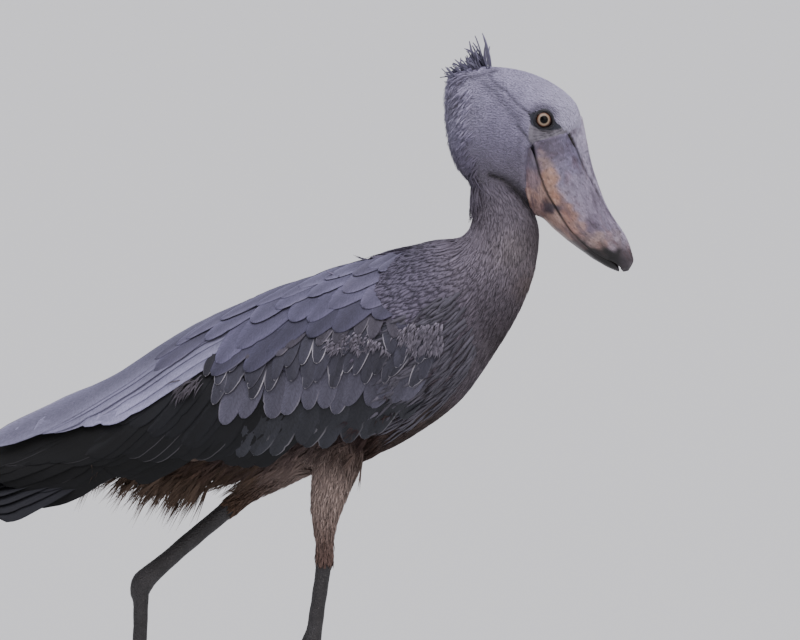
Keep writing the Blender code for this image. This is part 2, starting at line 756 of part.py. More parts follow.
def tail_core():
    """The flesh that the tail feathers grow from."""
    start, stop = TAIL["core"]
    rings = []
    for i in range(4):
        share = i / 3
        x = start + (stop - start) * share
        f = (x - TAIL["root"][0]) / (TAIL["tip"][0] - TAIL["root"][0])
        depth = np.array([0, 0, TAIL["core_depth"] * (1 - 0.55 * share)])
        line = [tail_path(k / 3, ((f, 1),))[0] for k in range(-3, 4)]
        rings.append(np.array([p + depth for p in line] + [p - depth for p in reversed(line)]))
    return loft("tail", rings)


def tail():
    """Twelve tail feathers as a shallow roof, fused at their roots, with coverts above."""
    vanes = []
    for k in range(TAIL["count"]):
        across = 2 * k / (TAIL["count"] - 1) - 1
        vanes.append(tail_feather(across, PROFILES[4], 1.0, -2.2 * abs(across), TAIL["half_width"]))
    for k in range(TAIL_COVERTS["count"]):
        across = 1.5 * k / (TAIL_COVERTS["count"] - 1) - 0.75
        reach, half_width = TAIL_COVERTS["reach"], TAIL_COVERTS["half_width"]
        vanes.append(tail_feather(across, PROFILES[4], reach, 4.0, half_width))
    made = tail_core()
    join(made, vanes)
    lighten(made)
    cut(made, torso_core("torso_space"))
    finish(made, "flight")


def leg_loft(name, rows, side, steps=1):
    """A limb through rings square to its line."""
    rows = smooth_rows(rows, steps)
    rows[:, 1] *= side
    rings = []
    for i, row in enumerate(rows):
        way = unit(rows[min(i + 1, len(rows) - 1)][:3] - rows[max(i - 1, 0)][:3])
        across = np.array([0.0, 1.0, 0.0])
        across = unit(across - way * across.dot(way))
        fore = np.cross(across, way)
        turns = [2 * math.pi * k / LEG_RING_SIDES for k in range(LEG_RING_SIDES)]
        rings.append([row[:3] + fore * math.cos(a) * row[3] + across * math.sin(a) * row[4] for a in turns])
    return loft(name, rings)


def toe_radius(t):
    """Half height of a toe, from 0 at the foot to 1 at the claw, with three pads."""
    return 8.2 - 2.8 * t + 0.8 * math.cos(6 * math.pi * t) ** 2


def toe_path(word, toe):
    """Points of a toe from the foot to the root of the claw, down to the floor and along it."""
    angle, length = TOES[toe]
    heading = math.radians(angle) * SIDES[word]
    x, y, z = FOOT_PIVOT[word]
    steepest = math.radians(TOE_DROP[word])
    steps = 8
    stride = length / steps
    path, flat, height = [], 0.0, z
    for i in range(steps + 1):
        path.append(np.array([
            x + flat * math.cos(heading), SIDES[word] * y + flat * math.sin(heading), height,
        ]))
        rest = toe_radius(i / steps) * REST_OF_RADIUS
        slope = min(steepest, math.asin(min(1.0, max(0.0, (height - rest) / stride / 2.2))))
        if not steepest:
            height += (rest - height) * 0.75
        flat += stride * math.cos(slope)
        height -= stride * math.sin(slope)
    return path


def toe_frame(path, i):
    """Forward, across and up at a point of a toe."""
    way = unit(path[min(i + 1, len(path) - 1)] - path[max(i - 1, 0)])
    across = unit(np.cross(UP, way))
    return way, across, np.cross(way, across)


def above_floor(points):
    return [np.array([p[0], p[1], max(p[2], 0.0)]) for p in points]


def toe(word, name):
    path = toe_path(word, name)
    rings = []
    for i, centre in enumerate(path):
        _, across, up = toe_frame(path, i)
        radius = toe_radius(i / (len(path) - 1))
        turns = [2 * math.pi * (k + 0.5) / TOE_RING_SIDES for k in range(TOE_RING_SIDES)]
        ring = [centre + across * math.cos(a) * radius * 0.95 + up * math.sin(a) * radius for a in turns]
        rings.append(above_floor(ring))
    return loft("toe", rings)


def foot(word):
    """One foot: three long toes ahead and one behind, joined under the leg."""
    side = SIDES[word]
    x, y, z = FOOT_PIVOT[word]
    made = ball("foot_" + word, (x, side * y, z - 4), (13.0, 13.0, 13.0), 12, 8)
    for v in made.data.vertices:
        v.co.z = max(v.co.z, 0.0)
    join(made, [toe(word, name) for name in TOES])
    lighten(made)
    cut(made, leg_loft("tarsus_space", TARSUS_RIBS[word], side))
    finish(made, "leg")


def claw(word, name):
    """A curved claw at the end of a toe."""
    path = toe_path(word, name)
    way, across, up = toe_frame(path, len(path) - 1)
    start = path[-1] + way * GAP
    root = toe_radius(1.0) * 0.62
    rings = []
    for i in range(5):
        t = i / 4
        centre = start + way * CLAW_LENGTH * t - up * 3.5 * t * t
        centre[2] = max(centre[2], root * (1 - t) * 0.9 + 0.5)
        radius = root * (1 - t) ** 0.7 + 0.35
        turns = [2 * math.pi * (k + 0.5) / CLAW_RING_SIDES for k in range(CLAW_RING_SIDES)]
        ring = [centre + across * math.cos(a) * radius * 0.8 + up * math.sin(a) * radius for a in turns]
        rings.append(above_floor(ring))
    finish(loft("claw_%s_%s" % (word, name), rings), "claw")


def legs():
    for word, side in SIDES.items():
        thigh = leg_loft("thigh_" + word, THIGH_RIBS[word], side, 2)
        cut(thigh, torso_core("torso_space"), leg_loft("shank_space", SHANK_RIBS[word], side))
        finish(thigh, "thigh")
        shank = leg_loft("shank_" + word, SHANK_RIBS[word], side)
        cut(shank, leg_loft("tarsus_space", TARSUS_RIBS[word], side))
        finish(shank, "leg")
        finish(leg_loft("tarsus_" + word, TARSUS_RIBS[word], side), "leg")
        foot(word)
        for name in TOES:
            claw(word, name)


def main():
    for leftover in list(bpy.data.objects):
        bpy.data.objects.remove(leftover)
    torso()
    neck()
    head()
    bill()
    eyes()
    for word, side in SIDES.items():
        wing(word, side)
    tail()
    legs()


main()
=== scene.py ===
import math

import bmesh
import bpy
import numpy as np
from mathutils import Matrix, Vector
from mathutils.bvhtree import BVHTree
from mathutils.kdtree import KDTree


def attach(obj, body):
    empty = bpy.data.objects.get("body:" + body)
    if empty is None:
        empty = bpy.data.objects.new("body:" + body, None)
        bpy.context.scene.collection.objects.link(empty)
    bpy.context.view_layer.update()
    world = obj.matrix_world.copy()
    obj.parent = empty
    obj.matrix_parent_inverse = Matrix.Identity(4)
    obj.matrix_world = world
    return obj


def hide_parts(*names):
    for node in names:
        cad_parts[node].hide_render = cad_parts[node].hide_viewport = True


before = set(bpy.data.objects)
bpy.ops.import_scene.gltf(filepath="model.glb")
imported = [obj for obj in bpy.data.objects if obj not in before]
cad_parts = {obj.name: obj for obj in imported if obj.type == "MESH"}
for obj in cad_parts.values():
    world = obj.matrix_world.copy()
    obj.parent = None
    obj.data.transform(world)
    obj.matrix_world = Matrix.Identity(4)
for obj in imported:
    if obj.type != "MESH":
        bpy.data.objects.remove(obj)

# A shoebill in mid stride, life size: one skin, feathers in tiers and tufts, bill, eyes, legs.
# Tables are in millimetres, with +X forward, +Z up and the bird's right side at -Y.

mm = 0.001
up = np.array([0.0, 0.0, 1.0])
sides = {"right": -1.0, "left": 1.0}
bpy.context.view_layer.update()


# small tools

def linear(hexColour):
    values = [int(hexColour[i:i + 2], 16) / 255 for i in (1, 3, 5)]
    return [v / 12.92 if v <= 0.04045 else ((v + 0.055) / 1.055) ** 2.4 for v in values] + [1.0]


def tintOf(hexColour):
    return np.array(linear(hexColour)[:3])


def unit(vectors):
    return vectors / np.maximum(np.linalg.norm(vectors, axis=-1, keepdims=True), 1e-12)


def smoothStep(low, high, value):
    t = np.clip((value - low) / (high - low), 0, 1)
    return t * t * (3 - 2 * t)


def bell(away, width):  # 1 where away is nought, fading over a width
    return np.exp(-(away / width) ** 2)


def between(pair, share):
    return np.array(pair[0], float) + (np.array(pair[1], float) - np.array(pair[0], float)) * share


def waves(points, seed, size):  # gentle unevenness from a few sines, between about -1 and 1
    rng = np.random.default_rng(seed)
    total = np.zeros(points.shape[:-1])
    for _ in range(7):
        total += np.sin(points @ (rng.normal(0, 1, 3) / size) + rng.uniform(0, 6.3))
    return total / 3


def curveThrough(rows, steps):  # a smooth curve through every row, steps points to a span
    rows = np.array(rows, float)
    ends = np.concatenate([2 * rows[:1] - rows[1:2], rows, 2 * rows[-1:] - rows[-2:-1]])
    made = []
    for before, start, stop, after in zip(ends, ends[1:], ends[2:], ends[3:]):
        for t in np.arange(steps) / steps:
            made.append(0.5 * (
                2 * start + (stop - before) * t + (2 * before - 5 * start + 4 * stop - after) * t * t
                + (3 * start - before - 3 * stop + after) * t ** 3))
    return np.array(made + [rows[-1]])


def distanceToLine(x, z, line):
    best = np.full(x.shape, 1e9)
    for (ax, az), (bx, bz) in zip(line, line[1:]):
        t = ((x - ax) * (bx - ax) + (z - az) * (bz - az)) / ((bx - ax) ** 2 + (bz - az) ** 2)
        t = np.clip(t, 0, 1)
        best = np.minimum(best, np.hypot(x - ax - t * (bx - ax), z - az - t * (bz - az)))
    return best


def gridFaces(rows, columns, closed, start=0):  # quads of a grid of points, wrapped round if closed
    r, c = np.meshgrid(np.arange(rows - 1), np.arange(columns if closed else columns - 1), indexing="ij")
    n = (c + 1) % columns
    quads = np.stack([r * columns + c, r * columns + n, (r + 1) * columns + n, (r + 1) * columns + c], -1)
    return quads.reshape(-1, 4) + start


def closedLoft(points, start=0):  # faces of a tube of rings, with a cap at each end
    rows, columns = points.shape[:2]
    last = start + (rows - 1) * columns
    caps = [np.arange(start, start + columns)[::-1][None], np.arange(last, last + columns)[None]]
    return [gridFaces(rows, columns, True, start)] + caps


def joinTubes(tubes):  # several closed tubes as one list of points and faces
    faces, start = [], 0
    for tube in tubes:
        faces += closedLoft(tube, start)
        start += tube.shape[0] * tube.shape[1]
    return np.concatenate([tube.reshape(-1, 3) for tube in tubes]), faces


# meshes

def readPoints(collection, key, width=3):
    values = np.zeros(len(collection) * width, np.float32)
    collection.foreach_get(key, values)
    return values.reshape(-1, width).astype(float)


def movePoints(mesh, points):
    mesh.vertices.foreach_set("co", (points * mm).astype(np.float32).ravel())
    mesh.update()


def paintPoints(mesh, tint):
    tint = np.clip(tint.reshape(-1, 3), 0, 1)
    layer = mesh.color_attributes.new("tint", "FLOAT_COLOR", "POINT")
    tint = np.pad(tint, ((0, 0), (0, 1)), constant_values=1)
    layer.data.foreach_set("color", tint.astype(np.float32).ravel())


def makeMesh(name, points, faces, material, tint=None, fringe=None, vane=None, bake=None):
    mesh = bpy.data.meshes.new(name)
    faces = [np.asarray(f, int) for f in faces if len(f)]
    corners = np.concatenate([f.ravel() for f in faces])
    starts = np.cumsum([0] + [f.shape[1] for f in faces for _ in range(len(f))])[:-1]
    mesh.vertices.add(points.size // 3)
    mesh.vertices.foreach_set("co", (points * mm).astype(np.float32).ravel())
    mesh.loops.add(len(corners))
    mesh.loops.foreach_set("vertex_index", corners.astype(np.int32))
    mesh.polygons.add(len(starts))
    mesh.polygons.foreach_set("loop_start", starts.astype(np.int32))
    mesh.polygons.foreach_set("use_smooth", np.ones(len(starts), bool))
    mesh.update(calc_edges=True)
    if tint is not None:
        paintPoints(mesh, tint)
    if fringe is not None:
        layer = mesh.attributes.new("fringe", "FLOAT", "POINT")
        layer.data.foreach_set("value", np.clip(fringe, 0, 1).astype(np.float32).ravel())
    for label, uv in (("vane", vane), ("OFBake", bake)):
        if uv is not None:
            places = uv.reshape(-1, 2)[corners]
            mesh.uv_layers.new(name=label).data.foreach_set("uv", places.astype(np.float32).ravel())
    mesh.materials.append(material)
    made = bpy.data.objects.new(name, mesh)
    bpy.context.scene.collection.objects.link(made)
    return made


def remeshPiece(made, voxel, smooth):  # runs overlapping tubes together into one smooth skin
    for kind, settings in (("REMESH", {"mode": "VOXEL", "voxel_size": voxel * mm}),
                           ("SMOOTH", {"factor": 0.5, "iterations": smooth})):
        modifier = made.modifiers.new(kind.lower(), kind)
        for key, value in settings.items():
            setattr(modifier, key, value)
    material = made.data.materials[0]
    mesh = bpy.data.meshes.new_from_object(made.evaluated_get(bpy.context.evaluated_depsgraph_get()))
    made.modifiers.clear()
    made.data = mesh
    mesh.shade_smooth()
    mesh.materials.clear()
    mesh.materials.append(material)


def finishPiece(piece, slot, *nodes):
    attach(piece, "root")
    if nodes:
        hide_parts(*nodes)


# sheets: grids of points with their normals and forward directions

def makeSheet(points, closed, outward=None):
    along = np.gradient(points, axis=0)
    around = (np.roll(points, -1, 1) - np.roll(points, 1, 1)) / 2 if closed else np.gradient(points, axis=1)
    normals = unit(np.cross(along, around))
    if outward is None:
        outward = points - points.mean(axis=1, keepdims=True)
    if (normals * outward).sum() < 0:
        normals = -normals
    return {"points": points, "normals": normals, "along": unit(along)}


def ribSheet(shape):  # rings through ribs in side view, from the back round the belly
    rows = curveThrough(shape["ribs"], shape["steps"])
    turn = 2 * np.pi * np.arange(shape["around"]) / shape["around"]
    rise = np.sign(np.cos(turn)) * np.abs(np.cos(turn)) ** shape["square"]
    across = np.sign(np.sin(turn)) * np.abs(np.sin(turn)) ** shape["square"]
    backX, backZ, bellyX, bellyZ, halfWidth, high = rows.T[:, :, None]
    x = (backX + bellyX) / 2 + (backX - bellyX) / 2 * rise
    z = (backZ + bellyZ) / 2 + (backZ - bellyZ) / 2 * rise
    return makeSheet(np.stack([x, halfWidth * across * (1 + high * rise), z], -1), True)


def limbSheet(ribs, side, steps, count):  # rings square to a limb's line
    rows = curveThrough(ribs, steps)
    rows[:, 1] *= side
    way = unit(np.gradient(rows[:, :3], axis=0))
    across = unit(np.array([0, 1.0, 0]) - way * way[:, 1:2])
    fore = np.cross(across, way)
    turn = (2 * np.pi * np.arange(count) / count)[None, :, None]
    ring = (fore[:, None] * np.cos(turn) * rows[:, None, 3:4]
            + across[:, None] * np.sin(turn) * rows[:, None, 4:5])
    return makeSheet(rows[:, None, :3] + ring, True)


def readGrid(field, row, column, steps):  # values between the points of a grid, carried on past its edges
    i, j = np.asarray(row, float) * steps, np.asarray(column, float) * steps
    i0 = np.clip(np.floor(i).astype(int), 0, field.shape[0] - 2)
    j0 = np.clip(np.floor(j).astype(int), 0, field.shape[1] - 2)
    u, v = (i - i0)[..., None], (j - j0)[..., None]
    return (field[i0, j0] * (1 - u) * (1 - v) + field[i0 + 1, j0] * u * (1 - v)
            + field[i0, j0 + 1] * (1 - u) * v + field[i0 + 1, j0 + 1] * u * v)


# shapes of the body, as in the frame

bodyShape = {  # ribs: back x and z, belly x and z, half width, share of the width towards the back
    "ribs": (
        (-249, 552, -252, 513, 20, 0.0), (-207, 586, -217, 479, 42, 0.05), (-140, 630, -151, 463, 70, 0.08),
        (-67, 669, -73, 463, 92, 0.1), (13, 704, 13, 468, 108, 0.08), (93, 745, 100, 493, 117, 0.05),
        (140, 772, 159, 525, 120, 0.0), (176, 783, 209, 564, 110, -0.05), (200, 785, 243, 609, 90, -0.05),
        (212, 790, 276, 660, 70, -0.05), (219, 803, 301, 711, 55, 0.0), (222, 820, 313, 756, 48, 0.0),
        (223, 837, 315, 796, 45, 0.0), (220, 855, 307, 824, 43, 0.0), (216, 873, 289, 853, 40, 0.0)),
    "square": 0.92, "steps": 8, "around": 72, "coat": 4.5,
}
headShape = {
    "ribs": (
        (189, 961, 191, 937, 8, 0.0), (193, 991, 196, 905, 34, 0.0), (209, 1007, 208, 876, 47, 0.0),
        (236, 1012, 231, 857, 54, 0.0), (267, 1011, 253, 852, 57, 0.0), (297, 1005, 273, 846, 57, -0.06),
        (324, 994, 288, 837, 55, -0.12), (347, 979, 299, 827, 52, -0.15), (363, 962, 305, 820, 49, -0.15),
        (372, 937, 311, 815, 45, -0.15)), "square": 0.88, "steps": 10, "around": 96, "coat": 2.0,
}
thighShape = {  # forward, across, up, half depth fore and aft, half width across
    "right": (
        (50, 62, 545, 28, 22), (48, 60, 510, 34, 29), (43, 56, 485, 34, 30), (36, 51, 458, 29, 27),
        (30, 46, 430, 24, 22), (27, 42, 402, 18, 17), (27, 38, 380, 13, 13), (27, 36, 362, 11, 10.5),
        (25.5, 35.2, 350, 10.8, 10), (24.5, 34.6, 341, 8, 7)),
    "left": (
        (40, 60, 530, 28, 22), (7, 60, 498, 33, 28), (-27, 58, 474, 28, 26), (-57, 54, 452, 20, 20),
        (-78, 51, 437, 14, 14), (-94, 49, 425, 12, 11), (-104, 48.3, 416, 12, 10.4),
        (-112, 47.8, 409.5, 8, 7)), "steps": 6, "around": 40, "coat": 3.5,
    "feathered": {"right": 7.2, "left": 5.2},
}
wingShape = {  # rows from shoulder to tip, columns from back to lower edge: forward, up, half width
    "grid": (
        ((133, 775, 4), (164, 727, 70), (180, 660, 112), (180, 600, 110), (159, 560, 92)),
        ((53, 751, 4), (71, 716, 72), (84, 653, 128), (89, 580, 134), (84, 524, 108)),
        ((-47, 716, 4), (-31, 684, 70), (-16, 620, 126), (-9, 553, 131), (-7, 501, 108)),
        ((-147, 667, 4), (-136, 640, 58), (-124, 587, 102), (-113, 527, 110), (-105, 480, 96)),
        ((-244, 599, 6), (-233, 580, 38), (-220, 543, 68), (-207, 503, 78), (-193, 471, 74)),
        ((-327, 551, 10), (-319, 535, 28), (-307, 511, 44), (-295, 489, 54), (-280, 465, 56)),
        ((-436, 497, 14), (-431, 489, 20), (-423, 479, 28), (-413, 468, 34), (-401, 457, 36))), "steps": 10,
    "coreRows": (-0.1, 4.1), "coreColumns": (0.0, 3.7), "outer": -5.0, "inner": -14.0, "rim": -9.5,
}
tailShape = {
    "root": (-222, 14, 529), "tip": (-436, 58, 455), "drop": 40, "pull": 30, "sag": 6, "core": (-222, -285),
    "coreDepth": 4.0, "rootDrop": 6,
}


def wingSheet(side):
    grid = np.array(wingShape["grid"], float)[:, :, [0, 2, 1]] * (1, side, 1)
    fine = np.array([curveThrough(row, wingShape["steps"]) for row in grid])
    fine = curveThrough(fine, wingShape["steps"])
    return makeSheet(fine, False, np.broadcast_to([0.0, side, 0.0], fine.shape))


def onWing(sheet, row, column, out):  # places on a folded wing, with normals
    steps = wingShape["steps"]
    normals = unit(readGrid(sheet["normals"], np.clip(row, 0, 6), np.clip(column, 0, 4), steps))
    return readGrid(sheet["points"], row, column, steps) + normals * np.asarray(out)[..., None], normals


def tailLine(across, f, lift):  # places along a tail feather, across from -1 at the right to 1 at the left
    far = abs(across) ** 1.4
    (rootX, rootY, rootZ), (tipX, tipY, tipZ) = tailShape["root"], tailShape["tip"]
    root = np.array([rootX, across * rootY, rootZ - tailShape["rootDrop"] * far])
    tip = np.array([tipX + tailShape["pull"] * far, across * tipY, tipZ - tailShape["drop"] * far])
    f = np.asarray(f)[:, None]
    return root + (tip - root) * f + up * (lift * f - tailShape["sag"] * np.sin(np.pi * f))


eyeShape = {
    "centre": (316.5, 44, 941), "radius": 13.0, "axis": (0.08, 1.0, 0.04), "lidRadius": 11.2,
    "lidDepth": 6.4, "lidThick": 1.6, "corner": 2.4, "cornerTurn": 32, "colour": "#17161b",
    "outer": "#34343d", "cornea": 0.7,
}

# the line where the bill leaves the feathers, in side view
billBase = (
    (369, 946), (358, 931), (350, 924), (330, 918.5), (308, 913), (301, 909), (294, 903), (291.5, 880),
    (293, 850), (302, 820), (309, 810),
)
billFront = ((330, 780), (400, 720), (450, 720), (450, 800), (400, 900))  # closes the outline ahead of it
billFrom = 285  # all of the bill lies ahead of this
# folds of the head, as lines in side view with a depth, a width and a painted shade, and swellings
headRelief = {
    "folds": (
        {
            "line": ((247, 998), (254, 988), (268, 979), (281, 964), (290, 956), (299, 949)), "depth": 2.6,
            "width": 2.6, "shade": 0.6},
        {
            "line": ((300, 950), (309, 957), (321, 957), (331, 949)), "depth": 1.4, "width": 6.0,
            "shade": 0.42},
        {
            "line": ((240, 990), (252, 976), (267, 961), (281, 943)), "depth": 2.2, "width": 9.0,
            "shade": 0.38},
        {
            "line": ((283, 934), (290, 925), (296, 917), (302, 908)), "depth": 2.2, "width": 3.2,
            "shade": 0.66},
        {
            "line": ((246, 868), (263, 862), (279, 850), (294, 832), (304, 818)), "depth": 3.0,
            "width": 5.0, "shade": 0.72},
        {"line": ((286, 918), (283, 900), (286, 880)), "depth": 1.0, "width": 2.6, "shade": 0.25},
        {"line": ((214, 1004), (204, 985), (199, 960)), "depth": 1.4, "width": 5.0, "shade": 0.22},
        {
            "line": ((258, 1009), (247, 1003), (231, 999), (216, 996)), "depth": 1.5, "width": 4.0,
            "shade": 0.5}),
    "swellings": (
        {"at": (322, 968), "height": 2.6, "reach": 15.0}, {"at": (264, 905), "height": 3.2, "reach": 26.0},
        {"at": (345, 962), "height": 1.6, "reach": 12.0}, {"at": (318, 941), "height": -2.2, "reach": 13.0},
        {"at": (316, 919), "height": 1.2, "reach": 5.0}, {"at": (352, 930), "height": 1.0, "reach": 6.0}),
}


def headHeight(points):  # how far the skin of the head stands out from its plain form
    x, z = points[..., 0], points[..., 2]
    height = np.zeros(x.shape)
    for fold in headRelief["folds"]:
        height -= fold["depth"] * bell(distanceToLine(x, z, fold["line"]), fold["width"])
    for swelling in headRelief["swellings"]:
        away = np.hypot(x - swelling["at"][0], z - swelling["at"][1])
        height += swelling["height"] * bell(away, swelling["reach"])
    return height * smoothStep(4, 25, np.abs(points[..., 1]))


def foldShade(points):  # painted shade along the folds of the head, as the share of light left in each
    x, z = points[..., 0], points[..., 2]
    light = np.ones(x.shape)
    for fold in headRelief["folds"]:
        light *= 1 - fold["shade"] * bell(distanceToLine(x, z, fold["line"]), 0.8 * fold["width"])
    return 1 - (1 - light) * smoothStep(10, 22, np.abs(points[..., 1]))


def inOutline(points, outline, edge):  # how far inside an outline in side view, negative outside it
    x, z = points[..., 0], points[..., 2]
    inside = np.zeros(x.shape, bool)
    for (ax, az), (bx, bz) in zip(outline, outline[1:] + outline[:1]):
        crosses = (az > z) != (bz > z)
        inside ^= crosses & (x < ax + (z - az) * (bx - ax) / (bz - az + 1e-9))
    return distanceToLine(x, z, edge) * np.where(inside, 1, -1)


def inBill(points):
    return inOutline(points, billBase + billFront, billBase)


# bare skin round the eye and down to the bill: outlines and wrinkles in side view
eyeSkin = {
    "dark": (
        (296, 950), (298, 940), (301, 934), (311, 928.5), (327, 927), (340, 929.3), (341, 932.5),
        (333, 938.7), (328.5, 947), (320, 953), (309, 954)),
    "bare": (
        (299, 949), (300, 938), (297, 927), (297, 917), (301, 909), (308, 913), (330, 918.5), (350, 924),
        (345, 930), (341, 933), (333, 938.7), (328.5, 947), (320, 953), (309, 953)),
    "wrinkles": (
        ((301, 929), (311, 926.5), (325, 925.5), (340, 929)),
        ((302, 914), (312, 917), (328, 921), (343, 928)), ((303, 924), (315, 922.5), (330, 924.5)),
        ((342, 931), (346, 927), (349.5, 925.5)), ((303, 919), (311, 920), (320, 921))), "width": 0.55,
    "depth": 0.7, "shade": 0.7, "darkHex": "#33353e", "hex": "#75717b", "reach": 40, "cuts": 3, "from": 25,
}


def inEyeSkin(points, key):
    outline = eyeSkin[key]
    onSide = np.abs(points[..., 1]) > eyeSkin["from"]
    return np.where(onSide, inOutline(points, outline, outline + outline[:1]), -99.0)


def wrinkles(points):  # how deep each place lies in a wrinkle, from 0 to 1
    x, z = points[..., 0], points[..., 2]
    lines = [distanceToLine(x, z, line) for line in eyeSkin["wrinkles"]]
    broken = 0.65 + 0.35 * np.sin(0.5 * x + 1.9 * z)
    return bell(np.min(lines, axis=0), eyeSkin["width"]) * (inEyeSkin(points, "bare") > -1.5) * broken


def bodyParts():  # every fleshy part as a sheet
    made = {"body": ribSheet(bodyShape)}
    head = ribSheet(headShape)
    made["head"] = makeSheet(head["points"] + head["normals"] * headHeight(head["points"])[..., None], True)
    for word, side in sides.items():
        made["thigh_" + word] = limbSheet(thighShape[word], side, thighShape["steps"], thighShape["around"])
        made["wing_" + word] = wingSheet(side)
    return made


# left, bottom, width and height of each part's place in the plumage's own unwrap
unwrap = {
    "body": (0.01, 0.01, 0.98, 0.38), "head": (0.01, 0.41, 0.48, 0.27),
    "thigh_right": (0.51, 0.41, 0.22, 0.27), "thigh_left": (0.76, 0.41, 0.22, 0.27),
    "wing_right": (0.01, 0.7, 0.48, 0.28), "wing_left": (0.51, 0.7, 0.48, 0.28),
}


def partPlaces(part, sheet):  # unwrap places of a sheet's points, rows along and columns round
    rows, columns = sheet["points"].shape[:2]
    left, bottom, width, height = unwrap[part]
    i, j = np.meshgrid(np.arange(rows) / rows, np.arange(columns) / columns, indexing="ij")
    return np.stack([left + width * j, bottom + height * i], -1)


def lieOf(part, sheet):  # feathers point back along the body, down the nape, limbs and wing
    along = sheet["along"]
    if part == "body":
        return -along
    if part == "head":
        rear = 1 - smoothStep(205, 265, sheet["points"][..., 0])[..., None]
        return unit(-along - up * (0.15 + 1.3 * rear))
    if part.startswith("wing"):
        return unit(along * 0.55 - up * 0.85)
    return along


parts = bodyParts()
print("parts ready:", ", ".join(parts))


# colours of the plumage: hex, place on the body in side view, reach

plumage = {
    "crown": ("#b2acca", (290, 1000), 40), "forehead": ("#b4afc8", (350, 970), 25),
    "cheek": ("#746e85", (265, 905), 40), "temple": ("#8a84a0", (262, 955), 35),
    "nape": ("#9c98ad", (197, 950), 24), "lores": ("#9a96a6", (325, 925), 14),
    "upperNeck": ("#746c74", (255, 840), 35), "neck": ("#847b86", (258, 770), 40),
    "neckStreak": ("#8a8182", (276, 780), 15), "throat": ("#3f3838", (308, 785), 20),
    "mantle": ("#5c5768", (150, 760), 65), "back": ("#615e76", (-40, 700), 90),
    "shoulder": ("#766e81", (130, 680), 45), "breastUpper": ("#453e44", (256, 708), 26),
    "breast": ("#5f5861", (225, 640), 46), "breastEdge": ("#54453b", (302, 735), 14),
    "breastFront": ("#352b26", (290, 650), 30), "flankPale": ("#6a5f5c", (176, 572), 12),
    "belly": ("#33251e", (162, 535), 60), "bellyEdge": ("#221710", (205, 545), 18),
    "flank": ("#3a2b23", (30, 500), 60), "vent": ("#5a483c", (-160, 470), 70),
    "rump": ("#1f2026", (-220, 560), 60), "thigh": ("#c0aca4", (30, 454), 36),
    "lowThigh": ("#6b5650", (28, 380), 36),
}


def zoneColour(zones, points):  # each zone's colour, weighted by nearness
    x, z = points[..., 0], points[..., 2]
    total, weight = np.zeros(x.shape + (3,)), np.full(x.shape + (1,), 1e-9)
    for hexColour, (ax, az), reach in zones.values():
        near = np.exp(-((x - ax) ** 2 + (z - az) ** 2) / (2 * reach ** 2))[..., None] + 1e-7
        total += near * tintOf(hexColour)
        weight += near
    return total / weight


def plumageColour(points):
    # the zones' colours, darkened by the painted shade of the head's folds
    return zoneColour(plumage, points) * foldShade(points)[..., None]


# materials

def addNode(tree, kind, inputs=(), **settings):
    node = tree.nodes.new("ShaderNode" + kind)
    for key, value in settings.items():
        setattr(node, key, value)
    for key, value in dict(inputs).items():
        if isinstance(value, bpy.types.NodeSocket):
            tree.links.new(value, node.inputs[key])
        else:
            node.inputs[key].default_value = value
    return node


def newMaterial(name, **values):  # a Principled shader whose constant values sit on its own sockets
    material = bpy.data.materials.new(name)
    material.use_nodes = True
    shader = material.node_tree.nodes["Principled BSDF"]
    for key, value in values.items():
        shader.inputs[key.replace("_", " ")].default_value = value
    return material, material.node_tree, shader


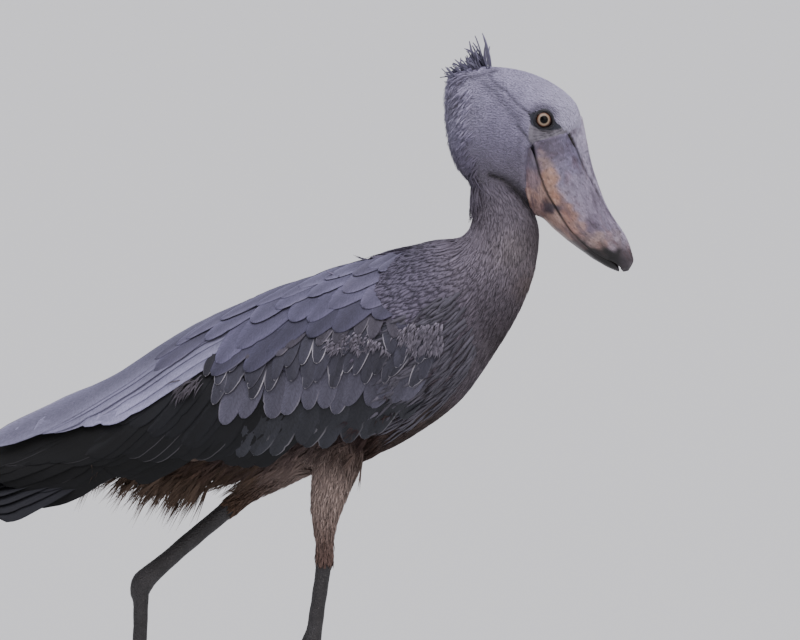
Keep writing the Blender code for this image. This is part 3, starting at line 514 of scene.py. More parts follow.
def featherMaterial(name, look):
    # Keratin barbs zipped into a vane: fine slanting lines each side of the shaft, matte, a pale worn fringe.
    material, tree, shader = newMaterial(
        name, Roughness=look["roughness"], Sheen_Weight=look["sheen"], Sheen_Roughness=0.5, IOR=1.54,
        Specular_IOR_Level=look["specular"])
    tint = addNode(tree, "Attribute", attribute_name="tint")
    fringe = addNode(tree, "Attribute", attribute_name="fringe")
    vane = addNode(tree, "UVMap", uv_map="vane")
    place = addNode(tree, "SeparateXYZ", {0: vane.outputs[0]})
    aside = addNode(tree, "Math", {0: place.outputs[0]}, operation="ABSOLUTE")
    slant = addNode(tree, "Math", {0: aside.outputs[0], 1: -look["slant"], 2: place.outputs[1]},
                    operation="MULTIPLY_ADD")
    phase = addNode(tree, "Math", {0: slant.outputs[0], 1: 2 * math.pi / look["barb"]}, operation="MULTIPLY")
    barbs = addNode(tree, "Math", {0: phase.outputs[0]}, operation="SINE")
    coordinates = addNode(tree, "TexCoord")
    streak = addNode(tree, "CombineXYZ", {0: slant.outputs[0], 1: place.outputs[0]})
    clumps = addNode(tree, "TexNoise", {"Vector": streak.outputs[0], "Scale": 0.35, "Detail": 3.0})
    cloud = addNode(tree, "TexNoise",
                    {"Vector": coordinates.outputs["Object"], "Scale": look["cloud"], "Detail": 4.0})
    shade = addNode(tree, "MapRange", {
        "Value": clumps.outputs["Fac"], "From Min": 0.3, "From Max": 0.7, "To Min": 1 - look["streak"],
        "To Max": 1 + look["streak"]})
    drift = addNode(tree, "MapRange", {
        "Value": cloud.outputs["Fac"], "From Min": 0.3, "From Max": 0.7, "To Min": 0.86, "To Max": 1.14})
    lined = addNode(tree, "Math", {0: barbs.outputs[0], 1: look["lines"], 2: shade.outputs[0]},
                    operation="MULTIPLY_ADD")
    both = addNode(tree, "Math", {0: lined.outputs[0], 1: drift.outputs[0]}, operation="MULTIPLY")
    shaded = addNode(tree, "VectorMath", {0: tint.outputs["Color"], "Scale": both.outputs[0]},
                     operation="SCALE")
    rim = addNode(tree, "MapRange", {
        "Value": fringe.outputs["Fac"], "From Min": look["fringeFrom"], "From Max": 1.0, "To Min": 0.0,
        "To Max": look["fringe"]})
    colour = addNode(tree, "Mix", {0: rim.outputs[0], 6: shaded.outputs[0], 7: linear(look["fringeColour"])},
                     data_type="RGBA")
    relief = addNode(tree, "Math", {0: clumps.outputs["Fac"], 1: 1.5, 2: barbs.outputs[0]},
                     operation="MULTIPLY_ADD")
    bump = addNode(tree, "Bump", {"Strength": look["bump"], "Distance": 0.0004, "Height": relief.outputs[0]})
    tree.links.new(colour.outputs[2], shader.inputs["Base Color"])
    tree.links.new(bump.outputs[0], shader.inputs["Normal"])
    return material


featherLooks = {
    # small body feathers, soft and open, drawn with coarser barbs than real so that they show
    "contourFeather": {
        "roughness": 0.85, "sheen": 0.04, "specular": 0.15, "slant": 1.4, "barb": 1.2, "cloud": 28.0,
        "lines": 0.05, "streak": 0.14, "fringe": 0.5, "fringeFrom": 0.72, "fringeColour": "#8d8894",
        "bump": 0.35},
    # the head's short dense feathers
    "velvetFeather": {
        "roughness": 0.85, "sheen": 0.15, "specular": 0.2, "slant": 1.2, "barb": 0.8, "cloud": 60.0,
        "lines": 0.03, "streak": 0.06, "fringe": 0.1, "fringeFrom": 0.6, "fringeColour": "#a9a6b8",
        "bump": 0.2},
    # stiff, tightly zipped vanes with a faint satin
    "flightVane": {
        "roughness": 0.66, "sheen": 0.02, "specular": 0.25, "slant": 1.1, "barb": 1.5, "cloud": 16.0,
        "lines": 0.09, "streak": 0.22, "fringe": 0.9, "fringeFrom": 0.2, "fringeColour": "#c4bfc8",
        "bump": 0.5},
    # long loose plumes of the belly and vent, stained brown
    "hangingPlume": {
        "roughness": 0.92, "sheen": 0.0, "specular": 0.08, "slant": 1.6, "barb": 1.4, "cloud": 22.0,
        "lines": 0.06, "streak": 0.22, "fringe": 0.2, "fringeFrom": 0.7, "fringeColour": "#7d6c60",
        "bump": 0.4},
}
materials = {name: featherMaterial(name, look) for name, look in featherLooks.items()}

skinLook = {"roughness": 0.8, "pores": 420.0, "mottle": 160.0, "darkest": 0.7, "palest": 1.1, "bump": 0.6}


def skinMaterial():
    # Living skin under the coat, pebbled with feather follicles and dull.
    material, tree, shader = newMaterial("follicledSkin", Roughness=skinLook["roughness"], IOR=1.4)
    tint = addNode(tree, "Attribute", attribute_name="tint")
    place = addNode(tree, "TexCoord").outputs["Object"]
    pores = addNode(tree, "TexVoronoi", {"Vector": place, "Scale": skinLook["pores"]})
    mottle = addNode(tree, "TexNoise", {"Vector": place, "Scale": skinLook["mottle"], "Detail": 4.0})
    shade = addNode(tree, "MapRange", {
        "Value": mottle.outputs["Fac"], "From Min": 0.35, "From Max": 0.65, "To Min": skinLook["darkest"],
        "To Max": skinLook["palest"]})
    colour = addNode(tree, "VectorMath", {0: tint.outputs["Color"], "Scale": shade.outputs[0]},
                     operation="SCALE")
    bump = addNode(tree, "Bump", {"Strength": skinLook["bump"], "Distance": 0.0006,
                                  "Height": pores.outputs["Distance"]})
    tree.links.new(colour.outputs[0], shader.inputs["Base Color"])
    tree.links.new(bump.outputs[0], shader.inputs["Normal"])
    return material


def hardMaterial(name, look):
    # Horn, scaled leg or bare skin: its own colour, mottled, flecked pale and dark, with scales or pores, and
    # painted shade in its creases.
    material, tree, shader = newMaterial(name, Roughness=look["roughness"], IOR=1.5,
                                         Specular_IOR_Level=look["specular"])
    tint = addNode(tree, "Attribute", attribute_name="tint")
    # the fringe attribute holds the painted shade of creases here, mixed towards a near black
    creaseShade = addNode(tree, "Attribute", attribute_name="fringe")
    place = addNode(tree, "TexCoord").outputs["Object"]
    if "stretch" in look:
        grain = addNode(tree, "UVMap", uv_map="vane")
        place = addNode(tree, "VectorMath", {0: grain.outputs[0], 1: look["stretch"]},
                        operation="MULTIPLY").outputs[0]
    mottle = addNode(tree, "TexNoise", {"Vector": place, "Scale": look["mottle"], "Detail": 6.0,
                                        "Roughness": 0.65})
    shade = addNode(tree, "MapRange", {
        "Value": mottle.outputs["Fac"], "From Min": 0.3, "From Max": 0.7, "To Min": 1 - look["contrast"],
        "To Max": 1 + look["contrast"]})
    colour = addNode(tree, "VectorMath", {0: tint.outputs["Color"], "Scale": shade.outputs[0]},
                     operation="SCALE").outputs[0]
    for hexColour, scale, low, high, amount, blend in look["flecks"]:
        flecks = addNode(tree, "TexNoise", {"Vector": place, "Scale": scale, "Detail": 3.0})
        spot = addNode(tree, "MapRange", {
            "Value": flecks.outputs["Fac"], "From Min": low, "From Max": high, "To Max": amount})
        colour = addNode(tree, "Mix", {0: spot.outputs[0], 6: colour, 7: linear(hexColour)},
                         data_type="RGBA", blend_type=blend).outputs[2]
    dark = addNode(tree, "Math", {0: creaseShade.outputs["Fac"], 1: look["creaseShade"]}, operation="MULTIPLY")
    colour = addNode(tree, "Mix", {0: dark.outputs[0], 6: colour, 7: linear(look["creaseShadeColour"])},
                     data_type="RGBA").outputs[2]
    cells = addNode(tree, "TexVoronoi", {"Vector": place, "Scale": look["cells"]})
    relief = addNode(tree, "Math", {0: cells.outputs["Distance"], 1: -look["cellDepth"],
                                    2: mottle.outputs["Fac"]}, operation="MULTIPLY_ADD")
    bump = addNode(tree, "Bump", {"Strength": look["bump"], "Distance": 0.0008, "Height": relief.outputs[0]})
    tree.links.new(colour, shader.inputs["Base Color"])
    tree.links.new(bump.outputs[0], shader.inputs["Normal"])
    return material


hardLooks = {  # a fleck: hex, scale, where it starts and is full, amount, way of mixing
    # the bill's thin horn over bone, scuffed and flecked
    "billHorn": {
        "roughness": 0.46, "specular": 0.4, "mottle": 90.0, "contrast": 0.35, "cells": 600.0,
        "cellDepth": 0.15, "bump": 0.35, "creaseShade": 1.0, "creaseShadeColour": "#17120f",
        "stretch": (0.11, 0.11, 0.0),
        "flecks": (
            ("#4d4350", 110.0, 0.52, 0.64, 0.5, "DARKEN"), ("#a87f6c", 75.0, 0.54, 0.66, 0.3, "OVERLAY"),
            ("#f4eef8", 520.0, 0.5, 0.66, 0.55, "SOFT_LIGHT"),
            ("#352c33", 430.0, 0.54, 0.68, 0.5, "DARKEN"))},
    # small many-sided scales of the legs, dark and matte
    "legScales": {
        "roughness": 0.55, "specular": 0.4, "mottle": 120.0, "contrast": 0.3, "cells": 420.0,
        "cellDepth": 1.6, "bump": 0.9, "creaseShade": 0.8, "creaseShadeColour": "#0d0c0c",
        "flecks": (("#5a5552", 300.0, 0.62, 0.75, 0.5, "MIX"),)},
    # solid horn of the claws
    "clawHorn": {
        "roughness": 0.35, "specular": 0.5, "mottle": 200.0, "contrast": 0.2, "cells": 900.0,
        "cellDepth": 0.1, "bump": 0.2, "creaseShade": 0.5, "creaseShadeColour": "#0a0909",
        "flecks": (("#4a4440", 500.0, 0.62, 0.75, 0.4, "MIX"),)},
    # bare wrinkled skin round the eye
    "lidSkin": {
        "roughness": 0.5, "specular": 0.4, "mottle": 300.0, "contrast": 0.3, "cells": 1300.0,
        "cellDepth": 0.8, "bump": 0.7, "creaseShade": 0.9, "creaseShadeColour": "#0b0b0d",
        "flecks": (("#6d6b76", 700.0, 0.6, 0.72, 0.5, "MIX"),)},
}
materials.update({name: hardMaterial(name, look) for name, look in hardLooks.items()})

eyeLook = {
    "roughness": 0.06, "coat": 0.06, "specular": 0.25, "fibres": 700.0, "warp": 0.05,
    "stops": (
        (0.0, "#020202"), (0.25, "#040303"), (0.275, "#463a32"), (0.31, "#8b7a68"), (0.37, "#9d8b78"),
        (0.43, "#806856"), (0.48, "#553627"), (0.53, "#20120e"), (1.0, "#0e0b0a")),
}


def eyeMaterial():
    # Clear wet cornea over a pale iris with a brown rim and a round pupil.
    material, tree, shader = newMaterial(
        "wetEye", Roughness=eyeLook["roughness"], Coat_Weight=eyeLook["coat"], Coat_Roughness=0.02, IOR=1.34,
        Specular_IOR_Level=eyeLook["specular"])
    angle = addNode(tree, "Attribute", attribute_name="fringe")
    place = addNode(tree, "TexCoord").outputs["Object"]
    fibres = addNode(tree, "TexNoise", {"Vector": place, "Scale": eyeLook["fibres"], "Detail": 3.0})
    warped = addNode(tree, "Math", {0: fibres.outputs["Fac"], 1: eyeLook["warp"], 2: angle.outputs["Fac"]},
                     operation="MULTIPLY_ADD")
    ramp = addNode(tree, "ValToRGB", {0: warped.outputs[0]})
    elements = ramp.color_ramp.elements
    for k, (at, hexColour) in enumerate(eyeLook["stops"]):
        element = elements[k] if k < 2 else elements.new(at)
        element.position, element.color = at, linear(hexColour)
    tree.links.new(ramp.outputs[0], shader.inputs["Base Color"])
    return material


materials["eye"] = eyeMaterial()
materials["skin"] = skinMaterial()
print("materials ready")


# one skin over torso, neck, head, thighs and the flesh of the wings

skinShape = {"voxel": 3.8, "smooth": 5, "gapShade": 0.92, "narrow": 0.35}


def wingCore(sheet):  # the flesh of a folded wing, thinner at its rim
    rows = np.linspace(*wingShape["coreRows"], 40)[:, None]
    columns = np.linspace(*wingShape["coreColumns"], 24)[None, :]
    row, column = np.broadcast_arrays(rows, columns)
    share = (column - columns.min()) / (columns.max() - columns.min())
    rim = np.minimum(1, 4 * np.minimum(share, 1 - share)) * np.minimum(1, 1.3 * (rows.max() - row))
    outer, _ = onWing(sheet, row, column, np.full(row.shape, wingShape["outer"]))
    inner, _ = onWing(sheet, row, column, wingShape["rim"] + (wingShape["inner"] - wingShape["rim"]) * rim)
    return np.concatenate([outer, inner[:, ::-1]], 1)  # a flat tube


def tailCore():
    start, stop = tailShape["core"]
    share = np.linspace(0, 1, 12)
    f = (start + (stop - start) * share - tailShape["root"][0]) / (tailShape["tip"][0] - tailShape["root"][0])
    lines = np.array([tailLine(a, f, 0.0) for a in np.linspace(-1, 1, 9)]).transpose(1, 0, 2)
    depth = (up * tailShape["coreDepth"])[None, None] * (1 - 0.5 * share)[:, None, None]
    return np.concatenate([lines + depth, (lines - depth)[:, ::-1]], 1)


def fleshTube(part, sheet):  # a part drawn in by the depth of its coat
    depth = (headShape if part == "head" else bodyShape)["coat"]
    if part.startswith("thigh"):
        rows = (np.arange(len(sheet["points"])) / thighShape["steps"])[:, None, None]
        feathered = thighShape["feathered"][part[6:]]
        depth = thighShape["coat"] * (1 - smoothStep(-2.2, 0.0, rows - feathered))
    return sheet["points"] - sheet["normals"] * depth


def buildSkin():
    tubes = [fleshTube(part, sheet) for part, sheet in parts.items() if not part.startswith("wing")]
    tubes += [wingCore(parts["wing_" + word]) for word in sides] + [tailCore()]
    made = makeMesh("skin", *joinTubes(tubes), materials["skin"])
    remeshPiece(made, skinShape["voxel"], skinShape["smooth"])
    return made


def refineEyeSkin(mesh):  # small faces near the eyes, so that wrinkles and dark skin have crisp edges
    grid = bmesh.new()
    grid.from_mesh(mesh)
    focus = np.array(eyeShape["centre"]) + (0, 0, 10)

    def isNear(face):
        x, y, z = face.calc_center_median()
        return np.linalg.norm(np.array([x, abs(y), z]) / mm - focus) < eyeSkin["reach"]

    edges = list({edge for face in grid.faces if isNear(face) for edge in face.edges})
    bmesh.ops.subdivide_edges(grid, edges=edges, cuts=eyeSkin["cuts"], smooth=0.6, use_grid_fill=True)
    grid.to_mesh(mesh)
    grid.free()


def shapeSkin(mesh):  # the head drawn in under the bill, and the wrinkles
    places = readPoints(mesh.vertices, "co") / mm
    underBill = inBill(places) * (places[:, 0] > billFrom)
    places[:, 1] *= 1 - skinShape["narrow"] * smoothStep(0, 6, underBill)
    places[:, 1] -= np.sign(places[:, 1]) * eyeSkin["depth"] * wrinkles(places)
    movePoints(mesh, places)
    return places


def paintSkin(mesh, places):
    tint = plumageColour(places) * skinShape["gapShade"]
    for key, hexColour in (("bare", "hex"), ("dark", "darkHex")):
        share = smoothStep(-0.6, 0.6, inEyeSkin(places, key))[:, None]
        tint += (tintOf(eyeSkin[hexColour]) - tint) * share
    # the wrinkles darkened: painted shade in their creases
    paintPoints(mesh, tint * (1 - eyeSkin["shade"] * wrinkles(places)[:, None]))


skin = buildSkin()
refineEyeSkin(skin.data)
skinPlaces = shapeSkin(skin.data)
paintSkin(skin.data, skinPlaces)
finishPiece(skin, "plumage", "torso", "neck", "head", "thigh_right", "thigh_left")
print("skin ready:", len(skin.data.polygons), "faces")


# where feathers can grow: the skin's faces, each with its part, row, column, lie and place in the unwrap

def growingPlaces():
    tree, owners = KDTree(sum(sheet["points"].size // 3 for sheet in parts.values())), []
    lies, bakes, rows, columns = [], [], [], []
    for part, sheet in parts.items():
        shape = sheet["points"].shape[:2]
        for place in sheet["points"].reshape(-1, 3):
            tree.insert(place, len(owners))
            owners.append(part)
        kind = {"body": bodyShape, "head": headShape, "wing": wingShape}.get(part.split("_")[0], thighShape)
        i, j = np.meshgrid(np.arange(shape[0]), np.arange(shape[1]), indexing="ij")
        rows.append((i / kind["steps"]).ravel())
        columns.append((j / (kind["steps"] if kind is wingShape else shape[1])).ravel())
        lies.append(lieOf(part, sheet).reshape(-1, 3))
        bakes.append(partPlaces(part, sheet).reshape(-1, 2))
    tree.balance()
    places = readPoints(skin.data.polygons, "center") / mm
    nearest = np.array([tree.find(place)[1] for place in places])
    return {
        "place": places, "normal": readPoints(skin.data.polygons, "normal"),
        "area": readPoints(skin.data.polygons, "area", 1)[:, 0] / mm ** 2, "part": np.array(owners)[nearest],
        "row": np.concatenate(rows)[nearest], "column": np.concatenate(columns)[nearest],
        "lie": np.concatenate(lies)[nearest], "bake": np.concatenate(bakes)[nearest],
    }


ground = growingPlaces()
print("growing places ready:", len(ground["area"]))


def scatter(mask, spacing, rng):  # roots about a spacing apart on the faces of a mask
    chosen = np.nonzero(mask)[0]
    area = ground["area"][chosen]
    wanted = int(3.5 * area.sum() / spacing ** 2)
    picks = chosen[rng.choice(len(chosen), wanted, p=area / area.sum())]
    normal = ground["normal"][picks]
    place = ground["place"][picks] + np.cross(normal, rng.normal(0, 1.2, normal.shape))
    _, first = np.unique(np.floor(place / spacing).astype(int), axis=0, return_index=True)
    picks, place, normal = picks[first], place[first], normal[first]
    lie = ground["lie"][picks]
    kept = np.abs((lie * normal).sum(1)) < 0.85  # none where the skin stands square to the way feathers lie
    picks, place, normal, lie = picks[kept], place[kept], normal[kept], lie[kept]
    lie = unit(lie - normal * (lie * normal).sum(1, keepdims=True))
    return {"place": place, "normal": normal, "lie": lie, "bake": ground["bake"][picks]}


# feather forms: across in half widths, along in lengths, out in half widths

def bladeForm(stations, thick, camber):  # one closed blade, four points to a section, from root to tip
    points, fringe = [], []
    for y, w in stations[:-1]:
        edge = -camber * w * w
        points += [(-w, y, edge), (0, y, thick), (w, y, edge), (0, y, -thick)]
        fringe += [1.0, 0.0, 1.0, 0.0]
    points.append((0, stations[-1][0], 0))
    fringe.append(1.0)
    count = len(stations) - 1
    quads = gridFaces(count, 4, True)
    last, tip = (count - 1) * 4, len(points) - 1
    tips = [(last + k, last + (k + 1) % 4, tip) for k in range(4)]
    return {"points": np.array(points, float), "quads": np.concatenate([quads, [(3, 2, 1, 0)]]),
            "tris": np.array(tips), "fringe": np.array(fringe)}


def tuftForm(count, spread, thick, seed, stations=((0.0, 0.5), (0.35, 0.62), (0.7, 0.4))):
    # narrow three-sided strands that fan out from one root
    rng = np.random.default_rng(seed)
    points, quads, tris, fringe = [], [], [], []
    for k in range(count):
        aside, length, lean = 0.0, 1.0, 0.0
        if count > 1:
            aside = spread * ((k + 0.5) / count * 2 - 1)
            length, lean = rng.uniform(0.72, 1.0), rng.uniform(-0.2, 0.35)
        start = len(points)
        for y, w in stations:
            middle, rise, half = aside * y ** 1.2, lean * y, w * 1.5 / count ** 0.5
            points += [(middle - half, y * length, rise), (middle + half, y * length, rise),
                       (middle, y * length, rise + thick)]
            fringe += [1.0, 1.0, 0.0]
        points.append((aside * 1.08, length, lean))
        fringe.append(1.0)
        last = start + 3 * (len(stations) - 1)
        quads += list(gridFaces(len(stations), 3, True, start))
        tris += [(start + 2, start + 1, start)]
        tris += [(last + j, last + (j + 1) % 3, last + 3) for j in range(3)]
    return {"points": np.array(points, float), "quads": np.array(quads), "tris": np.array(tris),
            "fringe": np.array(fringe)}


forms = {
    "lance": bladeForm(((0, 0.5), (0.4, 0.95), (0.75, 0.75), (1, 0)), 0.04, 0.035),
    "dart": tuftForm(1, 0.0, 0.2, 2, ((0.0, 0.45), (0.5, 0.66))),
    "strand": tuftForm(1, 0.0, 0.2, 2, ((0.0, 0.4), (0.35, 0.66), (0.72, 0.5))),
    "wisp": tuftForm(3, 1.3, 0.25, 4),
    "plume": tuftForm(6, 2.6, 0.3, 5),
}
skinTree = BVHTree.FromPolygons([Vector(place) for place in skinPlaces],
                                [tuple(face.vertices) for face in skin.data.polygons])


def skinHeight(points):  # how far points stand out from the skin
    heights = np.empty((len(points), 1))
    for k, point in enumerate(points):
        near, normal, _, _ = skinTree.find_nearest(Vector(point))
        heights[k] = (Vector(point) - near).dot(normal)
    return heights


def bendOverSkin(look, start, reach, length, lift):  # each feather follows the skin, its tip as its lift says
    rise = [look["clear"] + length * (np.sin(lift) * y - look["bend"] * y * y) - skinHeight(start + reach * y)
            for y in (0.5, 1.0)]
    highest = min(0.3, math.sin(look["lift"][1]) + 0.08)
    rise[1] = np.clip(rise[1], -0.4 * length, highest * length + look["clear"])
    rise[0] = np.clip(rise[0], 0.5 * rise[1] - 0.1 * length, 0.5 * rise[1] + 0.1 * length)
    return 4 * rise[0] - rise[1], 2 * rise[1] - 4 * rise[0]


def coatTint(look, roots, points, along, rng):
    n = len(points)
    bright = 1 + rng.normal(0, look["bright"], n)[:, None, None]
    pale = (rng.uniform(0, 1, n) < look["paleShare"])[:, None, None]
    if look["hex"]:
        plain = tintOf(look["hex"])
    else:  # a painted coat takes its colour point by point, the others from their roots
        plain = plumageColour(points if look["painted"] else roots["place"][:, None])
    tint = plain * bright * np.where(pale, look["pale"], 1.0)
    return tint * (1 - look["rootShade"] * (1 - along))  # darker at the root, in its neighbours' shade


def growCoat(name, look, roots, rng):
    form = forms[look["form"]]
    n, m = len(roots["place"]), len(form["points"])
    length, half, lift = (rng.uniform(*look[key], n)[:, None] for key in ("length", "half", "lift"))
    yaw, normal = rng.normal(0, look["yaw"], n)[:, None], roots["normal"]
    lie = roots["lie"] * np.cos(yaw) + np.cross(roots["lie"], normal) * np.sin(yaw)
    lie = unit(lie - up * look["fall"] * rng.uniform(0.3, 1.0, (n, 1)))
    if not look["free"]:
        lie = unit(lie - normal * (lie * normal).sum(1, keepdims=True))
    across = unit(np.cross(lie, normal))
    start = roots["place"] - normal * look["sink"]
    if look["free"]:
        slope, square = np.zeros((n, 1)), -look["bend"] * length
    else:
        slope, square = bendOverSkin(look, start, lie * length, length, lift)
    x, y, z = (form["points"][None, :, k, None] for k in range(3))
    points = (start[:, None] + across[:, None] * x * half[:, None] + lie[:, None] * y * length[:, None]
              + normal[:, None] * (z * half[:, None] + slope[:, None] * y + square[:, None] * y * y))
    starts = (np.arange(n) * m)[:, None, None]
    faces = [(form[key][None] + starts).reshape(-1, form[key].shape[1]) for key in ("quads", "tris")]
    tint = coatTint(look, roots, points, y, rng)
    flat = form["points"][:, :2][None]
    vane = flat * np.concatenate([half, length], 1)[:, None] + rng.uniform(0, 60, (n, 1, 1)) * (0, 1)
    patch = roots["bake"][:, None] + (flat * (0.5, 1) - (0, 0.5)) * coatPatch / np.abs(flat).max()
    fringe = form["fringe"][None] * rng.uniform(0.2, 1.0, (n, 1)) * look["edge"]
    piece = makeMesh(name, points, faces, materials[look["material"]], tint, fringe, vane, patch)
    finishPiece(piece, "plumage")
    print("coat", name, n, "feathers", n * (len(form["quads"]) * 2 + len(form["tris"])), "triangles")


# the contour feathers, region by region

def regionMasks():
    part, row, column, place = ground["part"], ground["row"], ground["column"], ground["place"]
    x, y, z = place.T
    wing, head, body = np.char.startswith(part, "wing"), part == "head", part == "body"
    drift = 5 * np.sin(z / 3.1) + 4 * np.sin(z / 7.7 + 1)
    bare = (inBill(place) > -0.5) & (x > billFrom)
    for ahead in (0, 3, 6):  # no feather's tip over the bare skin either
        bare |= inEyeSkin(place + ground["lie"] * ahead, "bare") > 0.9 * np.sin(2.2 * z + 1.3 * x)
    thighs = [(part == "thigh_" + word) & (row < thighShape["feathered"][word]) for word in sides]
    upperSide, fromKeel = (column < 0.2) | (column > 0.8), np.abs(column - 0.5)
    rearNeck = x < 213 + drift + 0.15 * np.abs(y) + 14 * (z < 852)
    return {
        "head": head & ~bare,
        "nape": (head | (body & (row > 11.2))) & rearNeck & (z > 798 + drift),
        "napeFall": (head | body) & (x < 232) & (z > 846) & (z < 896) & (ground["normal"][:, 0] < -0.2),
        "neckUpper": body & (row > 11.2) & ~bare,
        "neckLower": body & (row > 8.6) & (row <= 11.2),
        "mantle": body & (row > 4.6) & (row <= 8.6) & upperSide,
        "breast": body & (row > 5.2) & (row <= 8.6) & ~upperSide,
        "belly": body & (row <= 5.2) & ~upperSide,
        "shoulderPatch": wing & (row > -0.1) & (row < 1.5) & (column > 1.7) & (column < 2.3 - 0.25 * row),
        "wingFront": (wing & (row < 0.55) & (column > 1.7)
                      | (body & (row > 5.6) & (row < 8.2) & ~upperSide & (np.abs(y) > 70))),
        "downPatch": (part == "wing_right") & (row > 3.0) & (row < 3.35) & (column > 1.5) & (column < 1.75),
        "thigh": thighs[0] | thighs[1],
        "vent": body & (row < 3.4) & (column > 0.34) & (column < 0.66),
        "rearVent": body & (row < 2.4) & (column > 0.39) & (column < 0.61),
        "flankFringe": body & (row > 0.8) & (row < 5.0) & (fromKeel > 0.08) & (fromKeel < 0.2),
    }


plainCoat = {
    "form": "strand", "material": "contourFeather", "yaw": 0.2, "bend": 0.0, "sink": 0.6, "clear": 0.4,
    "paleShare": 0.0, "pale": 1.0, "edge": 1.0, "fall": 0.0, "rootShade": 0.08, "free": False,
    "painted": False, "hex": None,
}
coatPatch = 0.003  # reach of a feather's place in the unwrap
coats = {
    "head": {
        "spacing": 1.9, "form": "dart", "material": "velvetFeather", "length": (6.0, 9.0),
        "half": (0.8, 1.2), "lift": (0.0, 0.05), "yaw": 0.12, "sink": 0.3, "clear": 0.25, "bright": 0.035,
        "rootShade": 0.05, "painted": True},
    "nape": {
        "spacing": 2.8, "form": "wisp", "length": (12, 24), "half": (0.8, 1.3), "lift": (0.04, 0.42),
        "bright": 0.07, "paleShare": 0.3, "pale": 1.3},
    "napeFall": {
        "spacing": 3.0, "form": "wisp", "length": (26, 44), "half": (0.9, 1.5), "lift": (0.0, 0.08),
        "yaw": 0.16, "bend": 0.12, "sink": 0.5, "clear": 7.4, "bright": 0.07, "paleShare": 0.2, "pale": 1.2,
        "fall": 0.4},
    "neckUpper": {
        "spacing": 2.4, "length": (13, 22), "half": (1.0, 1.6), "lift": (0.0, 0.09), "yaw": 0.14,
        "sink": 0.5, "clear": 0.3, "bright": 0.06, "paleShare": 0.06, "pale": 1.25, "edge": 0.4},
    "neckLower": {
        "spacing": 2.7, "length": (18, 30), "half": (1.2, 2.0), "lift": (0.0, 0.08), "yaw": 0.15,
        "clear": 0.3, "bright": 0.07, "paleShare": 0.08, "pale": 1.25, "edge": 0.5},
    "mantle": {
        "spacing": 3.7, "form": "lance", "length": (26, 40), "half": (2.7, 4.2), "lift": (0.04, 0.058),
        "yaw": 0.12, "sink": 0.8, "bright": 0.05, "paleShare": 0.05, "pale": 1.2, "edge": 0.5},
    "breast": {
        "spacing": 3.2, "length": (26, 42), "half": (1.7, 2.8), "lift": (0.03, 0.06), "yaw": 0.14,
        "sink": 0.8, "bright": 0.09, "paleShare": 0.08, "pale": 1.35, "edge": 0.4},
    "wingFront": {
        "spacing": 9.0, "form": "lance", "length": (40, 64), "half": (2.0, 3.4), "lift": (0.0, 0.04),
        "yaw": 0.14, "sink": 1.0, "clear": 3.0, "bright": 0.08, "paleShare": 0.15, "pale": 1.3, "edge": 0.8,
        "hex": "#54515b"},
    "belly": {
        "spacing": 6.4, "form": "wisp", "material": "hangingPlume", "length": (26, 44), "half": (1.9, 3.0),
        "lift": (0.04, 0.2), "sink": 1.0, "bright": 0.1, "paleShare": 0.1, "pale": 1.35, "fall": 0.15},
    "shoulderPatch": {
        "spacing": 2.6, "form": "dart", "length": (14, 22), "half": (1.2, 2.0), "lift": (0.03, 0.05),
        "yaw": 0.25, "clear": 6.4, "bright": 0.06, "fall": 0.5, "edge": 0.2, "hex": "#7d7784"},
    "downPatch": {
        "spacing": 4.0, "form": "wisp", "length": (20, 38), "half": (0.7, 1.2), "lift": (0.0, 0.06),
        "yaw": 0.3, "sink": 0.0, "clear": 7.2, "bright": 0.12, "fall": 0.7, "edge": 0.2, "hex": "#5f5a62"},
    "thigh": {
        "spacing": 3.2, "material": "hangingPlume", "length": (14, 24), "half": (1.3, 2.1),
        "lift": (0.02, 0.16), "clear": 0.3, "bright": 0.12, "paleShare": 0.18, "pale": 1.3},
    "vent": {
        "spacing": 13.0, "form": "plume", "material": "hangingPlume", "length": (46, 84),
        "half": (1.6, 2.6), "lift": (0.2, 0.4), "yaw": 0.25, "bend": 0.06, "sink": 2.0, "free": True,
        "bright": 0.12, "paleShare": 0.2, "pale": 1.4, "fall": 0.9, "hex": "#54463d"},
    "rearVent": {
        "spacing": 8.0, "form": "plume", "material": "hangingPlume", "length": (56, 104),
        "half": (1.7, 2.8), "lift": (0.0, 0.15), "yaw": 0.3, "bend": 0.03, "sink": 2.0, "free": True,
        "bright": 0.14, "paleShare": 0.25, "pale": 1.4, "fall": 2.2, "hex": "#5f5046"},
    "flankFringe": {
        "spacing": 9.0, "form": "plume", "material": "hangingPlume", "length": (38, 66), "half": (1.6, 2.6),
        "lift": (0.1, 0.3), "yaw": 0.25, "sink": 1.0, "free": True, "bright": 0.12, "paleShare": 0.15,
        "pale": 1.4, "fall": 0.9},
}
masks = regionMasks()
for number, (region, look) in enumerate(coats.items()):
    draw = np.random.default_rng(40 + number)
    growCoat(region + "Coat", dict(plainCoat, **look), scatter(masks[region], look["spacing"], draw), draw)


# large feathers: vanes with a shaft, cambered, closed, laid along the wing or the tail

vaneGrid = {"along": 18, "edges": (-1, -0.88, -0.78, -0.4, -0.08, 0, 0.08, 0.4, 0.78, 0.88, 1)}
plainVane = {
    "rootWidth": 0.6, "ragged": 0.02, "splits": 1, "shaft": 0.0, "wave": 0.0, "waves": 2.5, "phase": 0.0,
    "roll": 0.0, "curl": 0.0, "thick": 0.55, "fringeSpan": (0.3, 0.7), "fringe": 0.3, "worn": 0.0,
}


def newBundle():
    return {"points": [], "faces": [], "fringe": [], "vane": [], "bake": [], "tint": [], "count": 0}


def vaneOutline(f, tipFrom, rootWidth):  # share of the half width along a vane with a rounded tip
    grow = rootWidth + (1 - rootWidth) * np.sin(np.minimum(f / 0.5, 1) * math.pi / 2)
    end = np.clip((f - tipFrom) / (1 - tipFrom), 0, 1)
    return grow * np.sqrt(np.maximum(1 - end ** 2.2, 0.0))


